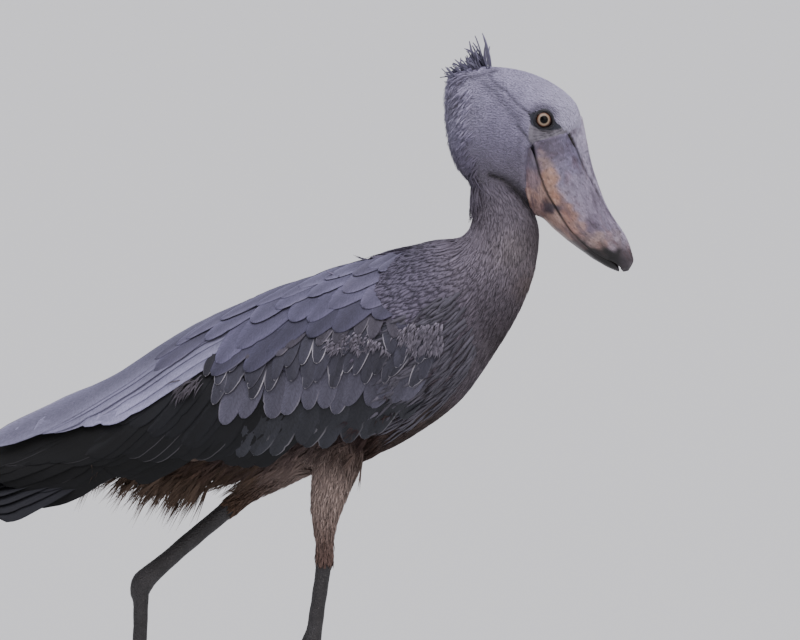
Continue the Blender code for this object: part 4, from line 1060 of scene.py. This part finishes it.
def layVane(bundle, path, normals, hand, look, tint, cell, rng):
    look = dict(plainVane, **look)
    f = look["f"][:, None]
    across = np.array(vaneGrid["edges"], float)[None]
    way = unit(np.gradient(path, axis=0))
    out = unit(normals - way * (normals * way).sum(1, keepdims=True))
    aside = hand * np.cross(way, out)
    half = look["half"] * vaneOutline(f, look["tipFrom"], look["rootWidth"])
    ragged = 1 - np.abs(rng.normal(0, look["ragged"], (len(f), 2)))
    for _ in range(look["splits"]):
        ragged[rng.integers(6, len(f) - 2), rng.integers(0, 2)] -= rng.uniform(0.06, 0.16)
    edge = np.where(across > 0, ragged[:, :1], ragged[:, 1:])
    offset = across * half * np.where(np.abs(across) > 0.5, edge, 1.0)
    offset = offset + look["shaft"] * half * (1 - across ** 2)  # the shaft lies nearer the front edge
    wave = look["wave"] * np.sin(2 * np.pi * look["waves"] * f + look["phase"])
    rise = (look["roll"] * offset - look["camber"] * across ** 2 + 0.45 * bell(across, 0.09) * (1 - 0.7 * f)
            + wave * np.clip(-across, 0, 1) * f + look["curl"] * smoothStep(0.75, 1.0, f))
    thick = look["thick"] * (1 - 0.45 * across ** 2) * (1 - 0.4 * f)
    top = path[:, None] + aside[:, None] * offset[..., None] + out[:, None] * rise[..., None]
    low = top - out[:, None] * thick[..., None]
    tube = np.concatenate([top, low[:, ::-1]], 1)
    rows, columns = offset.shape
    mark = np.where(np.abs(across) >= 0.88, np.where(across > 0, *rng.uniform(0.1, 1.0, 2)), 0.0)
    mark = mark * smoothStep(*look["fringeSpan"], f)
    mark = np.maximum(mark, 0.9 * (np.arange(rows)[:, None] >= rows - 1)) * look["fringe"]
    length = np.linalg.norm(path[-1] - path[0])
    flat = np.stack(np.broadcast_arrays(offset, f * length), -1)
    flat = np.concatenate([flat, flat[:, ::-1]], 1)
    x0, y0, size = cell
    patch = np.stack([x0 + size * (0.5 + 0.45 * flat[..., 0] / look["half"]),
                      y0 + size * 0.95 * flat[..., 1] / length], -1)
    patch[:, columns:, 0] = patch[:, columns:, 0] * 0.2 + x0 * 0.8  # the hidden underside takes less room
    # painted shade at the root, where the feathers above cover it
    root = 0.7 + 0.3 * smoothStep(0.1, 0.7, f)
    worn = 1 + look["worn"] * (across ** 2 - 0.45)  # paler towards the edges than along the shaft
    shade = root * np.concatenate([worn, 0.75 * worn[:, ::-1]], 1)  # painted shade underneath
    bundle["points"].append(tube)
    bundle["faces"] += closedLoft(tube, bundle["count"])
    bundle["fringe"].append(np.concatenate([mark, mark[:, ::-1]], 1).ravel())
    bundle["vane"].append(flat.reshape(-1, 2))
    bundle["bake"].append(patch.reshape(-1, 2))
    bundle["tint"].append((tint * shade[..., None]).reshape(-1, 3))
    bundle["count"] += rows * columns * 2


def finishBundle(name, bundle, material, slot, *nodes):
    quads = [f for f in bundle["faces"] if f.shape[1] == 4]
    caps = [f for f in bundle["faces"] if f.shape[1] != 4]
    points = np.concatenate([tube.reshape(-1, 3) for tube in bundle["points"]])
    data = [np.concatenate(bundle[key]) for key in ("tint", "fringe", "vane", "bake")]
    piece = makeMesh(name, points, quads + caps, materials[material], *data)
    finishPiece(piece, slot, *nodes)
    print("vanes", name, len(piece.data.polygons), "faces")


def bakeCell(number, side):  # a feather's square in an unwrap of side by side squares
    return (number % side) / side, (number // side) / side, 0.9 / side


plainTier = {
    "tipFrom": 0.3, "camber": 0.9, "fringe": 0.3, "worn": 0.3, "jitter": 0.02, "uneven": 0.1, "stack": 0.0,
    "tierShade": 0.0, "blend": 0.0,
}
wingTiers = {  # roots and tips as lines between two places of the wing grid, deepest tier first
    "innerPrimaries": {
        "count": 9, "roots": ((3.2, 3.0), (4.4, 1.8)), "tips": ((4.4, 2.8), (6.0, 5.4)), "half": 16,
        "lift": -3.6, "hex": "#08090c", "tipFrom": 0.8, "shaft": 0.3, "worn": 0.4},
    "outerPrimaries": {
        "count": 7, "roots": ((4.2, 2.2), (4.3, 0.8)), "tips": ((6.0, 6.0), (6.1, 1.6)), "half": 15,
        "lift": -3.0, "hex": "#08090c", "tipFrom": 0.8, "shaft": 0.3, "worn": 0.4},
    "primaries": {
        "count": 14, "roots": ((2.9, 2.7), (4.3, 0.6)), "tips": ((4.4, 4.1), (6.05, 1.3)), "half": 16,
        "lift": -2.4, "hex": "#08090c", "tipFrom": 0.8, "shaft": 0.3, "worn": 0.4},
    "secondaries": {
        "count": 14, "roots": ((1.7, 2.9), (3.1, 0.9)), "tips": ((2.6, 4.02), (4.9, 2.7)), "half": 16,
        "lift": -1.8, "hex": "#0d0e12", "tipFrom": 0.8, "shaft": 0.25, "fringe": 0.32, "worn": 0.4},
    "greaterCoverts": {
        "count": 12, "roots": ((0.3, 2.9), (2.6, 2.5)), "tips": ((0.5, 4.0), (2.9, 3.7)), "half": 15.5,
        "lift": -0.7, "hex": "#303138", "tipFrom": 0.45, "camber": 1.0, "fringe": 0.45, "jitter": 0.13},
    "rearCoverts": {
        "count": 9, "roots": ((2.4, 2.3), (3.1, 0.9)), "tips": ((3.1, 3.6), (4.3, 1.9)), "half": 17,
        "lift": -1.3, "hex": "#121318", "tipFrom": 0.55, "camber": 1.0, "fringe": 0.25, "jitter": 0.1},
    "medianCoverts": {
        "count": 12, "roots": ((0.2, 2.4), (2.6, 1.9)), "tips": ((0.4, 3.4), (2.9, 2.8)), "half": 15,
        "lift": -0.2, "hex": "#535160", "tipFrom": 0.4, "camber": 1.0, "fringe": 0.5, "jitter": 0.13},
    "lesserCovertsLow": {
        "count": 17, "roots": ((0.0, 2.0), (2.8, 1.3)), "tips": ((0.3, 2.9), (3.0, 2.25)), "half": 12,
        "lift": 0.5, "hex": "#393843", "fringe": 0.9, "jitter": 0.18},
    "lesserCovertsMiddle": {
        "count": 18, "roots": ((0.0, 1.7), (2.8, 1.0)), "tips": ((0.25, 2.55), (3.0, 1.9)), "half": 11,
        "lift": 1.1, "hex": "#3b3a46", "fringe": 0.9, "jitter": 0.18},
    "lesserCovertsHigh": {
        "count": 13, "roots": ((0.0, 1.2), (2.2, 1.2)), "tips": ((0.0, 2.1), (2.6, 1.7)), "half": 12,
        "lift": 1.6, "hex": "#48444f", "tipFrom": 0.35, "fringe": 0.45, "jitter": 0.14},
    # the tertials: their own lilac grey made paler as painted light on their sky-lit tops, and darkened one
    # by one across the tier as painted shade
    "tertials": {
        "count": 6, "roots": ((2.3, 1.2), (2.2, 0.2)), "tips": ((4.5, 1.5), (6.0, 0.25)), "half": 20,
        "lift": 1.8, "hex": "#8a88a4", "tipFrom": 0.82, "camber": 0.8, "wave": 1.6, "waves": 3.0,
        "fringe": 0.35, "worn": 0.5, "stack": 1.2, "curl": 2.5, "tierShade": 0.35, "phase": 1.0},
    # the scapulars and mantle feathers are paler the higher they lie: their own slate lilac with painted
    # light from the sky above
    "lowerScapulars": {
        "count": 7, "roots": ((-0.2, 0.7), (1.9, 0.8)), "tips": ((0.5, 1.75), (3.0, 1.8)), "half": 25,
        "lift": 2.4, "hex": "#3c3b4e", "camber": 1.0, "jitter": 0.13, "worn": 0.5, "uneven": 0.3,
        "blend": 0.2},
    "middleScapulars": {
        "count": 6, "roots": ((-0.1, 0.4), (2.0, 0.5)), "tips": ((0.85, 1.4), (2.9, 1.4)), "half": 25,
        "lift": 3.0, "hex": "#54526a", "camber": 1.0, "jitter": 0.16, "worn": 0.5, "uneven": 0.3,
        "blend": 0.3},
    "upperScapulars": {
        "count": 7, "roots": ((-0.2, 0.2), (2.5, 0.3)), "tips": ((0.6, 1.0), (3.5, 0.85)), "half": 22,
        "lift": 3.5, "hex": "#62607a", "jitter": 0.14, "worn": 0.5, "uneven": 0.5, "blend": 0.4},
    "mantleFeathers": {
        "count": 13, "roots": ((-0.4, 0.15), (2.6, 0.1)), "tips": ((0.3, 0.6), (3.6, 0.42)), "half": 15,
        "lift": 3.9, "hex": "#66647d", "jitter": 0.12, "worn": 0.5, "uneven": 0.4, "blend": 0.4},
}
wingLook = {"root": -5.0, "variation": 0.06, "overlap": 0.9, "cells": 16, "mixed": 0.14, "overSpine": 0.4}


def layTierFeather(bundle, sheet, side, tier, k, number, spacing, rng):
    share = k / (tier["count"] - 1)
    root, tip = between(tier["roots"], share), between(tier["tips"], share)
    tip = root + (tip - root) * (1 + rng.uniform(-1, 1) * wingLook["variation"])
    tip = tip + rng.uniform(-1, 1, 2) * tier["jitter"]
    f = 1 - (1 - np.linspace(0, 1, vaneGrid["along"])) ** 1.25
    row, column = root[0] + (tip[0] - root[0]) * f, root[1] + (tip[1] - root[1]) * f
    height = tier["lift"] + tier["uneven"] * rng.normal() + tier["stack"] * k
    lift = wingLook["root"] + (height - wingLook["root"]) * f ** 0.55
    path, normals = onWing(sheet, row, column, lift)
    look = dict(tier, f=f, roll=wingLook["overlap"] / spacing, half=tier["half"] * rng.uniform(0.88, 1.12))
    # the tint darkens across the tier by its painted shade
    tint = tintOf(tier["hex"]) * (1 + rng.normal(0, wingLook["mixed"])) * (1 - tier["tierShade"] * share)
    tint = tint + (plumageColour(path[12]) - tint) * tier["blend"]
    layVane(bundle, path, normals, side, look, tint, bakeCell(number, wingLook["cells"]), rng)


def buildWing(word, side):
    sheet, bundle, number = parts["wing_" + word], newBundle(), 0
    rng = np.random.default_rng(23)
    for tier in wingTiers.values():
        tier = dict(plainTier, **tier)
        first, last = [onWing(sheet, *place, 0.0)[0] for place in tier["tips"]]
        spacing = np.linalg.norm(last - first) / (tier["count"] - 1)
        for k in range(tier["count"]):
            layTierFeather(bundle, sheet, side, tier, k, number, spacing, rng)
            number += 1
    for tube in bundle["points"]:  # what reaches past the middle of the back is folded down between the wings
        over = np.maximum(wingLook["overSpine"] - side * tube[..., 1], 0)
        tube[..., 2] -= 0.9 * over
        tube[..., 1] += side * over
    finishBundle("wingVanes_" + word, bundle, "flightVane", "flight_feathers", "wing_" + word)


for word, side in sides.items():
    buildWing(word, side)


tailVanes = {
    "half": 20,
    "feathers": {"count": 12, "spread": 1.0, "reach": 1.0, "lift": 0.0, "tipFrom": 0.86, "hex": "#17181f"},
    "coverts": {"count": 9, "spread": 0.85, "reach": 0.72, "lift": 4.0, "tipFrom": 0.6, "hex": "#181920"},
}


def buildTail():
    bundle, rng = newBundle(), np.random.default_rng(31)
    f = 1 - (1 - np.linspace(0, 1, vaneGrid["along"])) ** 1.25
    plain = {"f": f, "half": tailVanes["half"], "camber": 1.0, "roll": 0.05, "shaft": 0.2, "fringe": 0.15}
    number = 0
    for kind in ("feathers", "coverts"):
        row = tailVanes[kind]
        for across in np.linspace(-1, 1, row["count"]) * row["spread"]:
            path = tailLine(across, f * row["reach"], row["lift"] - 2.2 * abs(across))
            slope = np.broadcast_to(unit(np.array([0.25, 0.7 * across, 1.0])), path.shape)
            tint = tintOf(row["hex"]) * (1 + rng.normal(0, 0.06))
            layVane(bundle, path, slope, 1.0 if across > 0 else -1.0, dict(plain, tipFrom=row["tipFrom"]),
                    tint, bakeCell(number, 8), rng)
            number += 1
    finishBundle("tailVanes", bundle, "flightVane", "flight_feathers", "tail")


buildTail()


# bill: two half shells of horn, from a section that runs from the ridge to the cutting edge

billShape = {  # upper and lower: far edge x and z, cutting edge x and z, half width
    "upper": (
        (360, 946, 294, 914, 45), (369, 943, 303, 909, 50), (375, 916, 307, 891, 53),
        (380, 891, 312, 870, 55), (388, 863, 321, 846, 55), (399, 833, 335, 822, 52),
        (412, 809, 353, 794, 46), (424, 792, 373, 775, 38), (432, 777, 393, 760, 28),
        (437, 761, 412, 751, 17), (438, 751, 421, 744, 10), (431, 739, 425, 738, 3)),
    "lower": (
        (293, 824, 289, 915, 42), (301, 818, 296, 911, 46), (310, 812, 307, 890, 49),
        (319, 807, 315, 870, 51), (331, 795, 325, 847, 51), (348, 781, 339, 822, 48),
        (367, 767, 357, 797, 42), (384, 755, 376, 780, 34), (401, 745, 396, 765, 24),
        (415, 739, 412, 754, 13), (419, 738, 418, 748, 5)),
    "upperSection": (
        (0, 1), (0.12, 0.985), (0.2, 0.88), (0.27, 0.85), (0.36, 0.86), (0.58, 0.77), (0.82, 0.57),
        (0.97, 0.28), (1.0, 0.06), (0.95, 0), (0.6, 0.02), (0, 0.04)),
    "lowerSection": (
        (0, 1), (0.38, 0.95), (0.66, 0.83), (0.86, 0.62), (0.97, 0.35), (1.0, 0.08), (0.95, 0), (0.5, 0),
        (0, 0)), "steps": 14, "half": 56,
    "mouth": (
        (294, 914), (303, 909), (307, 891), (312, 870), (321, 846), (335, 822), (353, 794), (373, 775),
        (393, 760), (412, 751), (421, 744)), "nostril": ((350, 924), (355, 915), (360.5, 906)),
    "seam": ((423, 792), (409, 776), (404, 757)), "ridge": "#a59eb4",
    "groove": (
        (349, 925), (354, 921), (361, 905), (368, 887), (378, 866), (391, 842), (409, 810), (421, 790)),
    "baseDepth": 4.5, "paleRim": 0.5,
}
billColours = {  # hex, place in side view, reach
    "band1": ("#877371", (319, 888), 5), "band2": ("#967667", (325, 866), 5),
    "band3": ("#9b7a6a", (336, 842), 5), "band4": ("#927166", (350, 819), 5),
    "band5": ("#8f7572", (366, 799), 5), "band6": ("#9a8480", (388, 782), 6),
    "base1": ("#554e60", (328, 903), 8), "base2": ("#656076", (346, 900), 8),
    "side1": ("#777188", (345, 876), 8), "side2": ("#8b8398", (360, 852), 9),
    "side3": ("#82798c", (374, 828), 9), "side4": ("#5c5262", (385, 799), 5),
    "side5": ("#81788b", (398, 806), 7), "side6": ("#897e89", (412, 783), 6),
    "hook1": ("#74686e", (427, 774), 6), "hook2": ("#4e454b", (432, 760), 7),
    "hook3": ("#2e292f", (426, 745), 7), "gape": ("#6d6676", (297, 890), 7),
    "lower1": ("#826e74", (297, 862), 7), "lower2": ("#9d8076", (303, 842), 6),
    "lower3": ("#937873", (311, 824), 5), "smudge": ("#443a42", (323, 827), 5),
    "lower4": ("#a2867c", (334, 806), 5), "lower5": ("#8d736c", (348, 794), 6),
    "lower6": ("#544748", (364, 779), 6), "lower7": ("#1d191b", (383, 763), 9),
    "lower8": ("#0a090a", (405, 746), 13),
}


def sectionRing(section, count):  # half a section, evenly divided and mirrored into a ring
    fine = curveThrough(section, 12)
    length = np.concatenate([[0], np.cumsum(np.linalg.norm(np.diff(fine, axis=0), axis=1))])
    even = np.linspace(0, length[-1], count)
    half = np.stack([np.interp(even, length, fine[:, k]) for k in range(2)], -1)
    return np.concatenate([half, (half * (-1, 1))[-2:0:-1]])


def billSurface(key, points):  # how far the horn stands out from its plain form, and how much painted shade lies in its creases, nostril and mouth line
    x, z = points[..., 0], points[..., 2]
    sided = smoothStep(3, 9, np.abs(points[..., 1]))
    mouth, base = distanceToLine(x, z, billShape["mouth"]), distanceToLine(x, z, billBase)
    height = 0.35 * waves(points, 3, 16) + 0.12 * waves(points, 4, 5)
    height += 0.6 * bell(base - 1.5, 1.5) - billShape["baseDepth"] * smoothStep(0, 4, -inBill(points))
    if key == "lower":
        return height - 0.8 * bell(mouth, 3), bell(mouth, 1.8)
    nostril = bell(distanceToLine(x, z, billShape["nostril"]), 1.5) * sided
    groove = bell(distanceToLine(x, z, billShape["groove"]), 1.3) * sided
    height += 0.9 * bell(mouth - 3, 2.5) - 2.6 * nostril - 1.3 * groove
    height -= 0.8 * bell(distanceToLine(x, z, billShape["seam"]), 1.5)
    return height, nostril + 0.75 * groove + 0.8 * bell(mouth, 0.9)


def billTint(key, plain, points):
    x, z = plain[..., 0], plain[..., 2]
    drift = np.stack([waves(points, seed, 5) for seed in (5, 6, 7)], -1) * (5, 0, 5)
    tint = zoneColour(billColours, points + drift)
    if key == "upper":  # the ridge is paler than the sides, down to the groove
        line = np.array(billShape["groove"], float)[::-1]
        ridge = smoothStep(0.3, 2.0, x - np.interp(z, line[:, 1], line[:, 0])) * smoothStep(762, 796, z)
        tint = tint + (tintOf(billShape["ridge"]) - tint) * 0.8 * ridge[..., None]
    rim = bell(distanceToLine(x, z, billBase) - 1.5, 1.3)[..., None]
    return tint * (1 + billShape["paleRim"] * rim)


def buildBill(key):
    rows = curveThrough(billShape[key], billShape["steps"])
    ring = sectionRing(billShape[key + "Section"], billShape["half"])
    far, edge, half = rows[:, None, 0:2], rows[:, None, 2:4], rows[:, None, 4]
    flat = edge + (far - edge) * ring[None, :, 1, None]
    plain = np.stack([flat[..., 0], half * ring[None, :, 0], flat[..., 1]], -1)
    height, creaseShade = billSurface(key, plain)
    points = plain + makeSheet(plain, True)["normals"] * height[..., None]
    away = np.abs(np.linspace(-1, 1, points.shape[1] + 1)[:-1])  # alike on both sides, so there is no seam
    share = np.stack(np.meshgrid(away, np.linspace(0, 1, points.shape[0])), -1)
    piece = makeMesh("bill" + key.capitalize(), points, closedLoft(points), materials["billHorn"],
                     billTint(key, plain, points), creaseShade, share)
    finishPiece(piece, "bill", "bill_" + key)


buildBill("upper")
buildBill("lower")
print("bill ready")


# eyes, with a bare wrinkled ring round each

def eyeFrame(side):
    centre = np.array(eyeShape["centre"], float) * (1, side, 1)
    axis = unit(np.array(eyeShape["axis"]) * (1, side, 1))
    ahead = unit(np.cross(axis, up) * side)
    above = unit(np.cross(axis, ahead))
    return centre, axis, ahead, above * np.sign(above[2])


def buildEye(word, side):
    centre, axis, ahead, above = eyeFrame(side)
    angle = np.pi * np.linspace(0.004, 0.996, 48)[:, None, None]
    turn = (2 * np.pi * np.arange(64) / 64)[None, :, None]
    radius = eyeShape["radius"] + eyeShape["cornea"] * bell(angle, 0.5)  # the cornea stands out a little
    ring = (ahead * np.cos(turn) + above * np.sin(turn)) * np.sin(angle)
    points = centre + radius * (axis * np.cos(angle) + ring)
    share = np.broadcast_to(angle[..., 0] / (np.pi / 2), points.shape[:2])
    piece = makeMesh("eyeball_" + word, points, closedLoft(points), materials["eye"], fringe=share)
    finishPiece(piece, "eye", "eye_" + word)


def buildLid(word, side):
    centre, axis, ahead, above = eyeFrame(side)
    turns, sections = 96, 20
    a = 2 * np.pi * np.r_[0:turns, 0][:, None] / turns
    b = 2 * np.pi * np.arange(sections)[None, :] / sections
    corner = np.maximum(0, np.cos(a + math.radians(eyeShape["cornerTurn"]))) ** 6
    radius = eyeShape["lidRadius"] + eyeShape["corner"] * corner
    thick = eyeShape["lidThick"] * (1 + 0.3 * np.maximum(0, np.sin(a)))
    folds = 0.22 * np.sin(5 * b + 3 * np.sin(2 * a)) * smoothStep(-0.2, 0.6, np.cos(b - 0.9))
    width = thick * (1 + folds) * np.where(np.cos(b) > 0, 1.35, 0.9)
    depth = eyeShape["lidDepth"] - 0.8 * corner + np.sin(b) * thick * (1 + folds)
    outward = (ahead * np.cos(a)[..., None] + above * np.sin(a)[..., None])
    points = centre + axis * depth[..., None] + outward * (radius + np.cos(b) * width)[..., None]
    outer = smoothStep(0.2, 1.0, np.cos(b) * np.ones_like(a))[..., None]
    tint = tintOf(eyeShape["colour"]) * (1 - outer) + tintOf(eyeShape["outer"]) * outer
    # -3 * folds is painted shade in the lid's hollows
    piece = makeMesh("lid_" + word, points, [gridFaces(turns + 1, sections, True)], materials["lidSkin"],
                     tint, -3 * folds)
    finishPiece(piece, "plumage")


for word, side in sides.items():
    buildEye(word, side)
    buildLid(word, side)
print("eyes ready")


# crest: raised narrow feathers on the back of the crown

crestShape = {
    "count": 76, "rear": (205, 0, 995), "front": (246, 0, 1010), "spread": 16, "rearLength": (17, 27),
    "frontLength": (25, 40), "half": 4.6, "lean": (150, 106), "curl": 0.3, "hex": "#7b788d", "sink": 4,
    "slim": (0.5, 0.9), "tall": ((244, 94, 52), (240, 99, 49), (238, 104, 42), (231, 115, 42)),
    "tallSlim": 0.72,
    "vane": {
        "tipFrom": 0.1, "camber": 0.9, "rootWidth": 0.7, "splits": 2, "fringe": 0.45, "worn": 0.4,
        "thick": 0.4},
}


def crestRoots(rng):  # root, lean in degrees and length of each feather, the few tall ones last
    made = []
    for share in np.linspace(0, 1, crestShape["count"]):
        root = between((crestShape["rear"], crestShape["front"]), share)
        lean = between(crestShape["lean"], share) + rng.normal(0, 15)
        lengths = between((crestShape["rearLength"], crestShape["frontLength"]), share)
        made.append((root, lean, rng.uniform(*lengths)))
    return made + [(np.array([x, 0, 1008.0]), lean, length) for x, lean, length in crestShape["tall"]]


def buildCrest():
    bundle, rng = newBundle(), np.random.default_rng(5)
    f = np.linspace(0, 1, 14)
    for k, (root, lean, length) in enumerate(crestRoots(rng)):
        isTall = k >= crestShape["count"]
        aside = crestShape["spread"] * rng.uniform(-1, 1) * (0.25 if isTall else 1)
        root = root + (rng.uniform(-4, 4), aside, -0.02 * aside ** 2 - crestShape["sink"])
        lean = math.radians(lean)
        way = unit(np.array([math.cos(lean), 0.015 * aside, math.sin(lean)]))
        curl = np.cross(way, (rng.normal(0, 0.5), 1, 0)) * crestShape["curl"] * length * rng.normal(0.1, 0.7)
        path = root + way * (length * f)[:, None] + curl * (f ** 2)[:, None]
        normal = unit(np.cross(way, np.array([rng.uniform(-0.9, 0.9), 1.0, 0.0])))
        normal = np.broadcast_to(normal * (-1 if normal[0] > 0 else 1), path.shape)
        slim = crestShape["tallSlim"] if isTall else between(crestShape["slim"], k / crestShape["count"])
        look = dict(crestShape["vane"], f=f, half=crestShape["half"] * slim * rng.uniform(0.7, 1.1))
        tint = tintOf(crestShape["hex"]) * (1 + rng.normal(0, 0.15))
        layVane(bundle, path, normal, 1.0, look, tint, bakeCell(k, 9), rng)
    finishBundle("crestFeathers", bundle, "contourFeather", "plumage")


buildCrest()


# legs, feet and claws

legShape = {  # shank and tarsus: forward, across, up, half depth, half width; toes: heading and length
    "shank": {
        "right": (
            (27, 36, 363, 10.2, 9.2), (23, 34, 330, 10, 9), (18, 32, 296, 10, 9), (13, 30, 262, 10.5, 9.5),
            (9, 29, 245, 13, 11.5), (6, 28, 232, 15, 13), (7, 28, 221, 13.5, 12.5)),
        "left": (
            (-91, 49, 427, 11.5, 10), (-125, 47, 399, 11.5, 9.5), (-160, 45, 370, 11.5, 9.5),
            (-190, 43, 344, 12, 10), (-208, 42, 329, 13.5, 12), (-218, 41, 318, 15, 13.5),
            (-222, 41, 307, 14, 12.5))},
    "tarsus": {
        "right": (
            (8, 28, 219, 12.5, 11.5), (12, 28, 205, 10.5, 9.5), (25, 28, 165, 9.5, 8), (47, 28, 100, 9, 8),
            (68, 28, 42, 10, 9), (75, 28, 25, 12, 11), (79, 28, 12, 12, 12)),
        "left": (
            (-222, 41, 305, 13, 11.5), (-221, 41, 290, 10.5, 9.5), (-222, 41, 250, 9.5, 8),
            (-226, 42, 180, 9, 8), (-229, 42, 115, 10, 9), (-230, 42, 98, 12, 11), (-230, 42, 85, 12, 11))},
    "toes": {"inner": (-27, 112), "middle": (1, 158), "outer": (29, 126), "rear": (166, 70)},
    "pivot": {"right": (80, 28, 14), "left": (-229, 42, 84)}, "drop": {"right": 0, "left": 56}, "rest": 0.8,
    "claw": 19.0, "colour": "#302e30", "toeColour": "#343233", "clawColour": "#1d1b1b", "steps": 12,
    "around": 36, "scute": 6.5, "heel": 13, "voxel": 1.3, "smooth": 4,
}


def legTint(points, hexColour):
    return tintOf(hexColour) * (1 + 0.18 * waves(points, 8, 14))[..., None]


def buildLeg(word, side):  # shank and tarsus in one tube, so the hock has no seam
    ribs = legShape["shank"][word][:-1] + legShape["tarsus"][word]
    sheet = limbSheet(ribs, side, legShape["steps"], legShape["around"])
    tube = sheet["points"]
    spans = np.linalg.norm(np.diff(tube.mean(1), axis=0), axis=1)
    along = np.cumsum(np.concatenate([[0], spans]))[:, None]
    front = np.maximum(0, np.cos(2 * np.pi * np.arange(legShape["around"]) / legShape["around"]))[None] ** 0.6
    scutes = 0.35 * (np.abs(np.sin(np.pi * along / legShape["scute"])) ** 0.5 - 0.6) * front
    tube = tube + sheet["normals"] * (scutes + 0.25 * waves(tube, 9, 9))[..., None]
    piece = makeMesh("legSkin_" + word, tube, closedLoft(tube), materials["legScales"],
                     legTint(tube, legShape["colour"]), np.zeros(tube.shape[:2]))
    finishPiece(piece, "leg_skin", "shank_" + word, "tarsus_" + word)


def toeRadius(t):
    return 8.2 - 2.8 * t + 0.8 * np.cos(6 * np.pi * t) ** 2


def toePath(word, toe):  # as in the frame: down to the floor and along it
    angle, length = legShape["toes"][toe]
    heading = math.radians(angle) * sides[word]
    x, y, z = legShape["pivot"][word]
    steepest = math.radians(legShape["drop"][word])
    stride, path, flat, height = length / 8, [], 0.0, float(z)
    for i in range(9):
        path.append((x + flat * math.cos(heading), sides[word] * y + flat * math.sin(heading), height))
        rest = toeRadius(i / 8) * legShape["rest"]
        slope = min(steepest, math.asin(min(1.0, max(0.0, (height - rest) / stride / 2.2))))
        if not steepest:
            height += (rest - height) * 0.75
        flat += stride * math.cos(slope)
        height -= stride * math.sin(slope)
    return np.array(path)


def ringsAlong(path, radius, flatten):
    way = unit(np.gradient(path, axis=0))
    across = unit(np.cross(up, way))
    above = np.cross(way, across)
    turn = (2 * np.pi * np.arange(24) / 24)[None, :, None]
    ring = across[:, None] * np.cos(turn) * flatten + above[:, None] * np.sin(turn)
    rings = path[:, None] + ring * radius[:, None, None]
    rings[..., 2] = np.maximum(rings[..., 2], 0)
    return rings


def heelBall(centre, radius):  # upright rings of a ball, flat on the floor
    turn = (2 * np.pi * np.arange(24) / 24)[None, :]
    rise = np.linspace(-12.5, 12.5, 15)[:, None]
    around = radius * np.sqrt(1 - (rise / radius) ** 2)
    rings = np.broadcast_arrays(centre[0] + around * np.cos(turn), centre[1] + around * np.sin(turn),
                                np.maximum(centre[2] + rise, 0))
    return np.stack(rings, -1)


def buildFoot(word, side):
    x, y, z = legShape["pivot"][word]
    paths = [curveThrough(toePath(word, toe), 8) for toe in legShape["toes"]]
    tubes = [ringsAlong(path, toeRadius(np.linspace(0, 1, len(path))), 0.95) for path in paths]
    tubes.append(heelBall((x, side * y, z - 4), legShape["heel"]))
    made = makeMesh("footSkin_" + word, *joinTubes(tubes), materials["legScales"])
    remeshPiece(made, legShape["voxel"], legShape["smooth"])
    places = readPoints(made.data.vertices, "co") / mm
    places[:, 2] = np.maximum(places[:, 2], 0)
    movePoints(made.data, places)
    paintPoints(made.data, legTint(places, legShape["toeColour"]))
    finishPiece(made, "leg_skin", "foot_" + word)


def buildClaw(word, toe):
    path = toePath(word, toe)
    way = unit(path[-1] - path[-2])
    above = np.cross(way, unit(np.cross(up, way)))
    t = np.linspace(0, 1, 24)
    root = toeRadius(1.0) * 0.66
    centre = path[-1] - way * 2 + way * ((legShape["claw"] + 2) * t)[:, None] - above * (3.5 * t * t)[:, None]
    centre[:, 2] = np.maximum(centre[:, 2], root * (1 - t) * 0.9 + 0.5)
    rings = ringsAlong(centre, root * (1 - t) ** 0.7 + 0.3, 0.8)
    piece = makeMesh(f"clawHorn_{word}_{toe}", rings, closedLoft(rings), materials["clawHorn"],
                     legTint(rings, legShape["clawColour"]), np.zeros(rings.shape[:2]))
    finishPiece(piece, "claw", f"claw_{word}_{toe}")


for word, side in sides.items():
    buildLeg(word, side)
    buildFoot(word, side)
    for toe in legShape["toes"]:
        buildClaw(word, toe)
print("legs ready")


# camera, light and floor

view = {"elevation": 3.0, "distance": 9.0, "centre": (0.127, 0.0, 0.673), "seen": 0.80 * 4 / 3,
        "sensor": 36.0, "farthest": 500}
lights = {
    "sky": {"from": (-0.10, -0.22, 1.0), "spread": 70, "strength": 3.7, "colour": "#f8f6ff"},
    "front": {"from": (0.55, -1.0, 0.55), "spread": 50, "strength": 0.9, "colour": "#fff4ec"},
}
room = {"colour": "#dfe1e4", "strength": 0.4, "floor": "#d2d3d2", "floorRadius": 300000}


def setCamera():
    data = bpy.data.cameras.new("camera")
    camera = bpy.data.objects.new("camera", data)
    bpy.context.scene.collection.objects.link(camera)
    tilt = math.radians(view["elevation"])
    camera.location = Vector(view["centre"]) + Vector((0, -math.cos(tilt), math.sin(tilt))) * view["distance"]
    camera.rotation_euler = (math.pi / 2 - tilt, 0, 0)
    data.sensor_width = view["sensor"]
    data.lens = view["sensor"] * view["distance"] / view["seen"]
    data.clip_end = view["farthest"]
    bpy.context.scene.camera = camera


def setLights():
    for name, light in lights.items():
        data = bpy.data.lights.new(name, "SUN")
        data.energy, data.color = light["strength"], linear(light["colour"])[:3]
        data.angle = math.radians(light["spread"])
        lamp = bpy.data.objects.new(name, data)
        lamp.rotation_euler = Vector(light["from"]).to_track_quat("Z", "Y").to_euler()
        bpy.context.scene.collection.objects.link(lamp)
    world = bpy.data.worlds.new("paleRoom")
    world.use_nodes = True
    background = world.node_tree.nodes["Background"]
    background.inputs[0].default_value = linear(room["colour"])
    background.inputs[1].default_value = room["strength"]
    bpy.context.scene.world = world


def setFloor():
    # Matte painted studio floor, plain and pale.
    material, _, _ = newMaterial("mattePaintedFloor", Base_Color=linear(room["floor"]), Roughness=0.9)
    turn = 2 * np.pi * np.arange(64) / 64
    rim = np.stack([np.cos(turn), np.sin(turn), np.zeros(64)], -1) * room["floorRadius"]
    floor = makeMesh("floor", rim, [np.arange(64)[None]], material)


setCamera()
setLights()
setFloor()
print("stage ready")
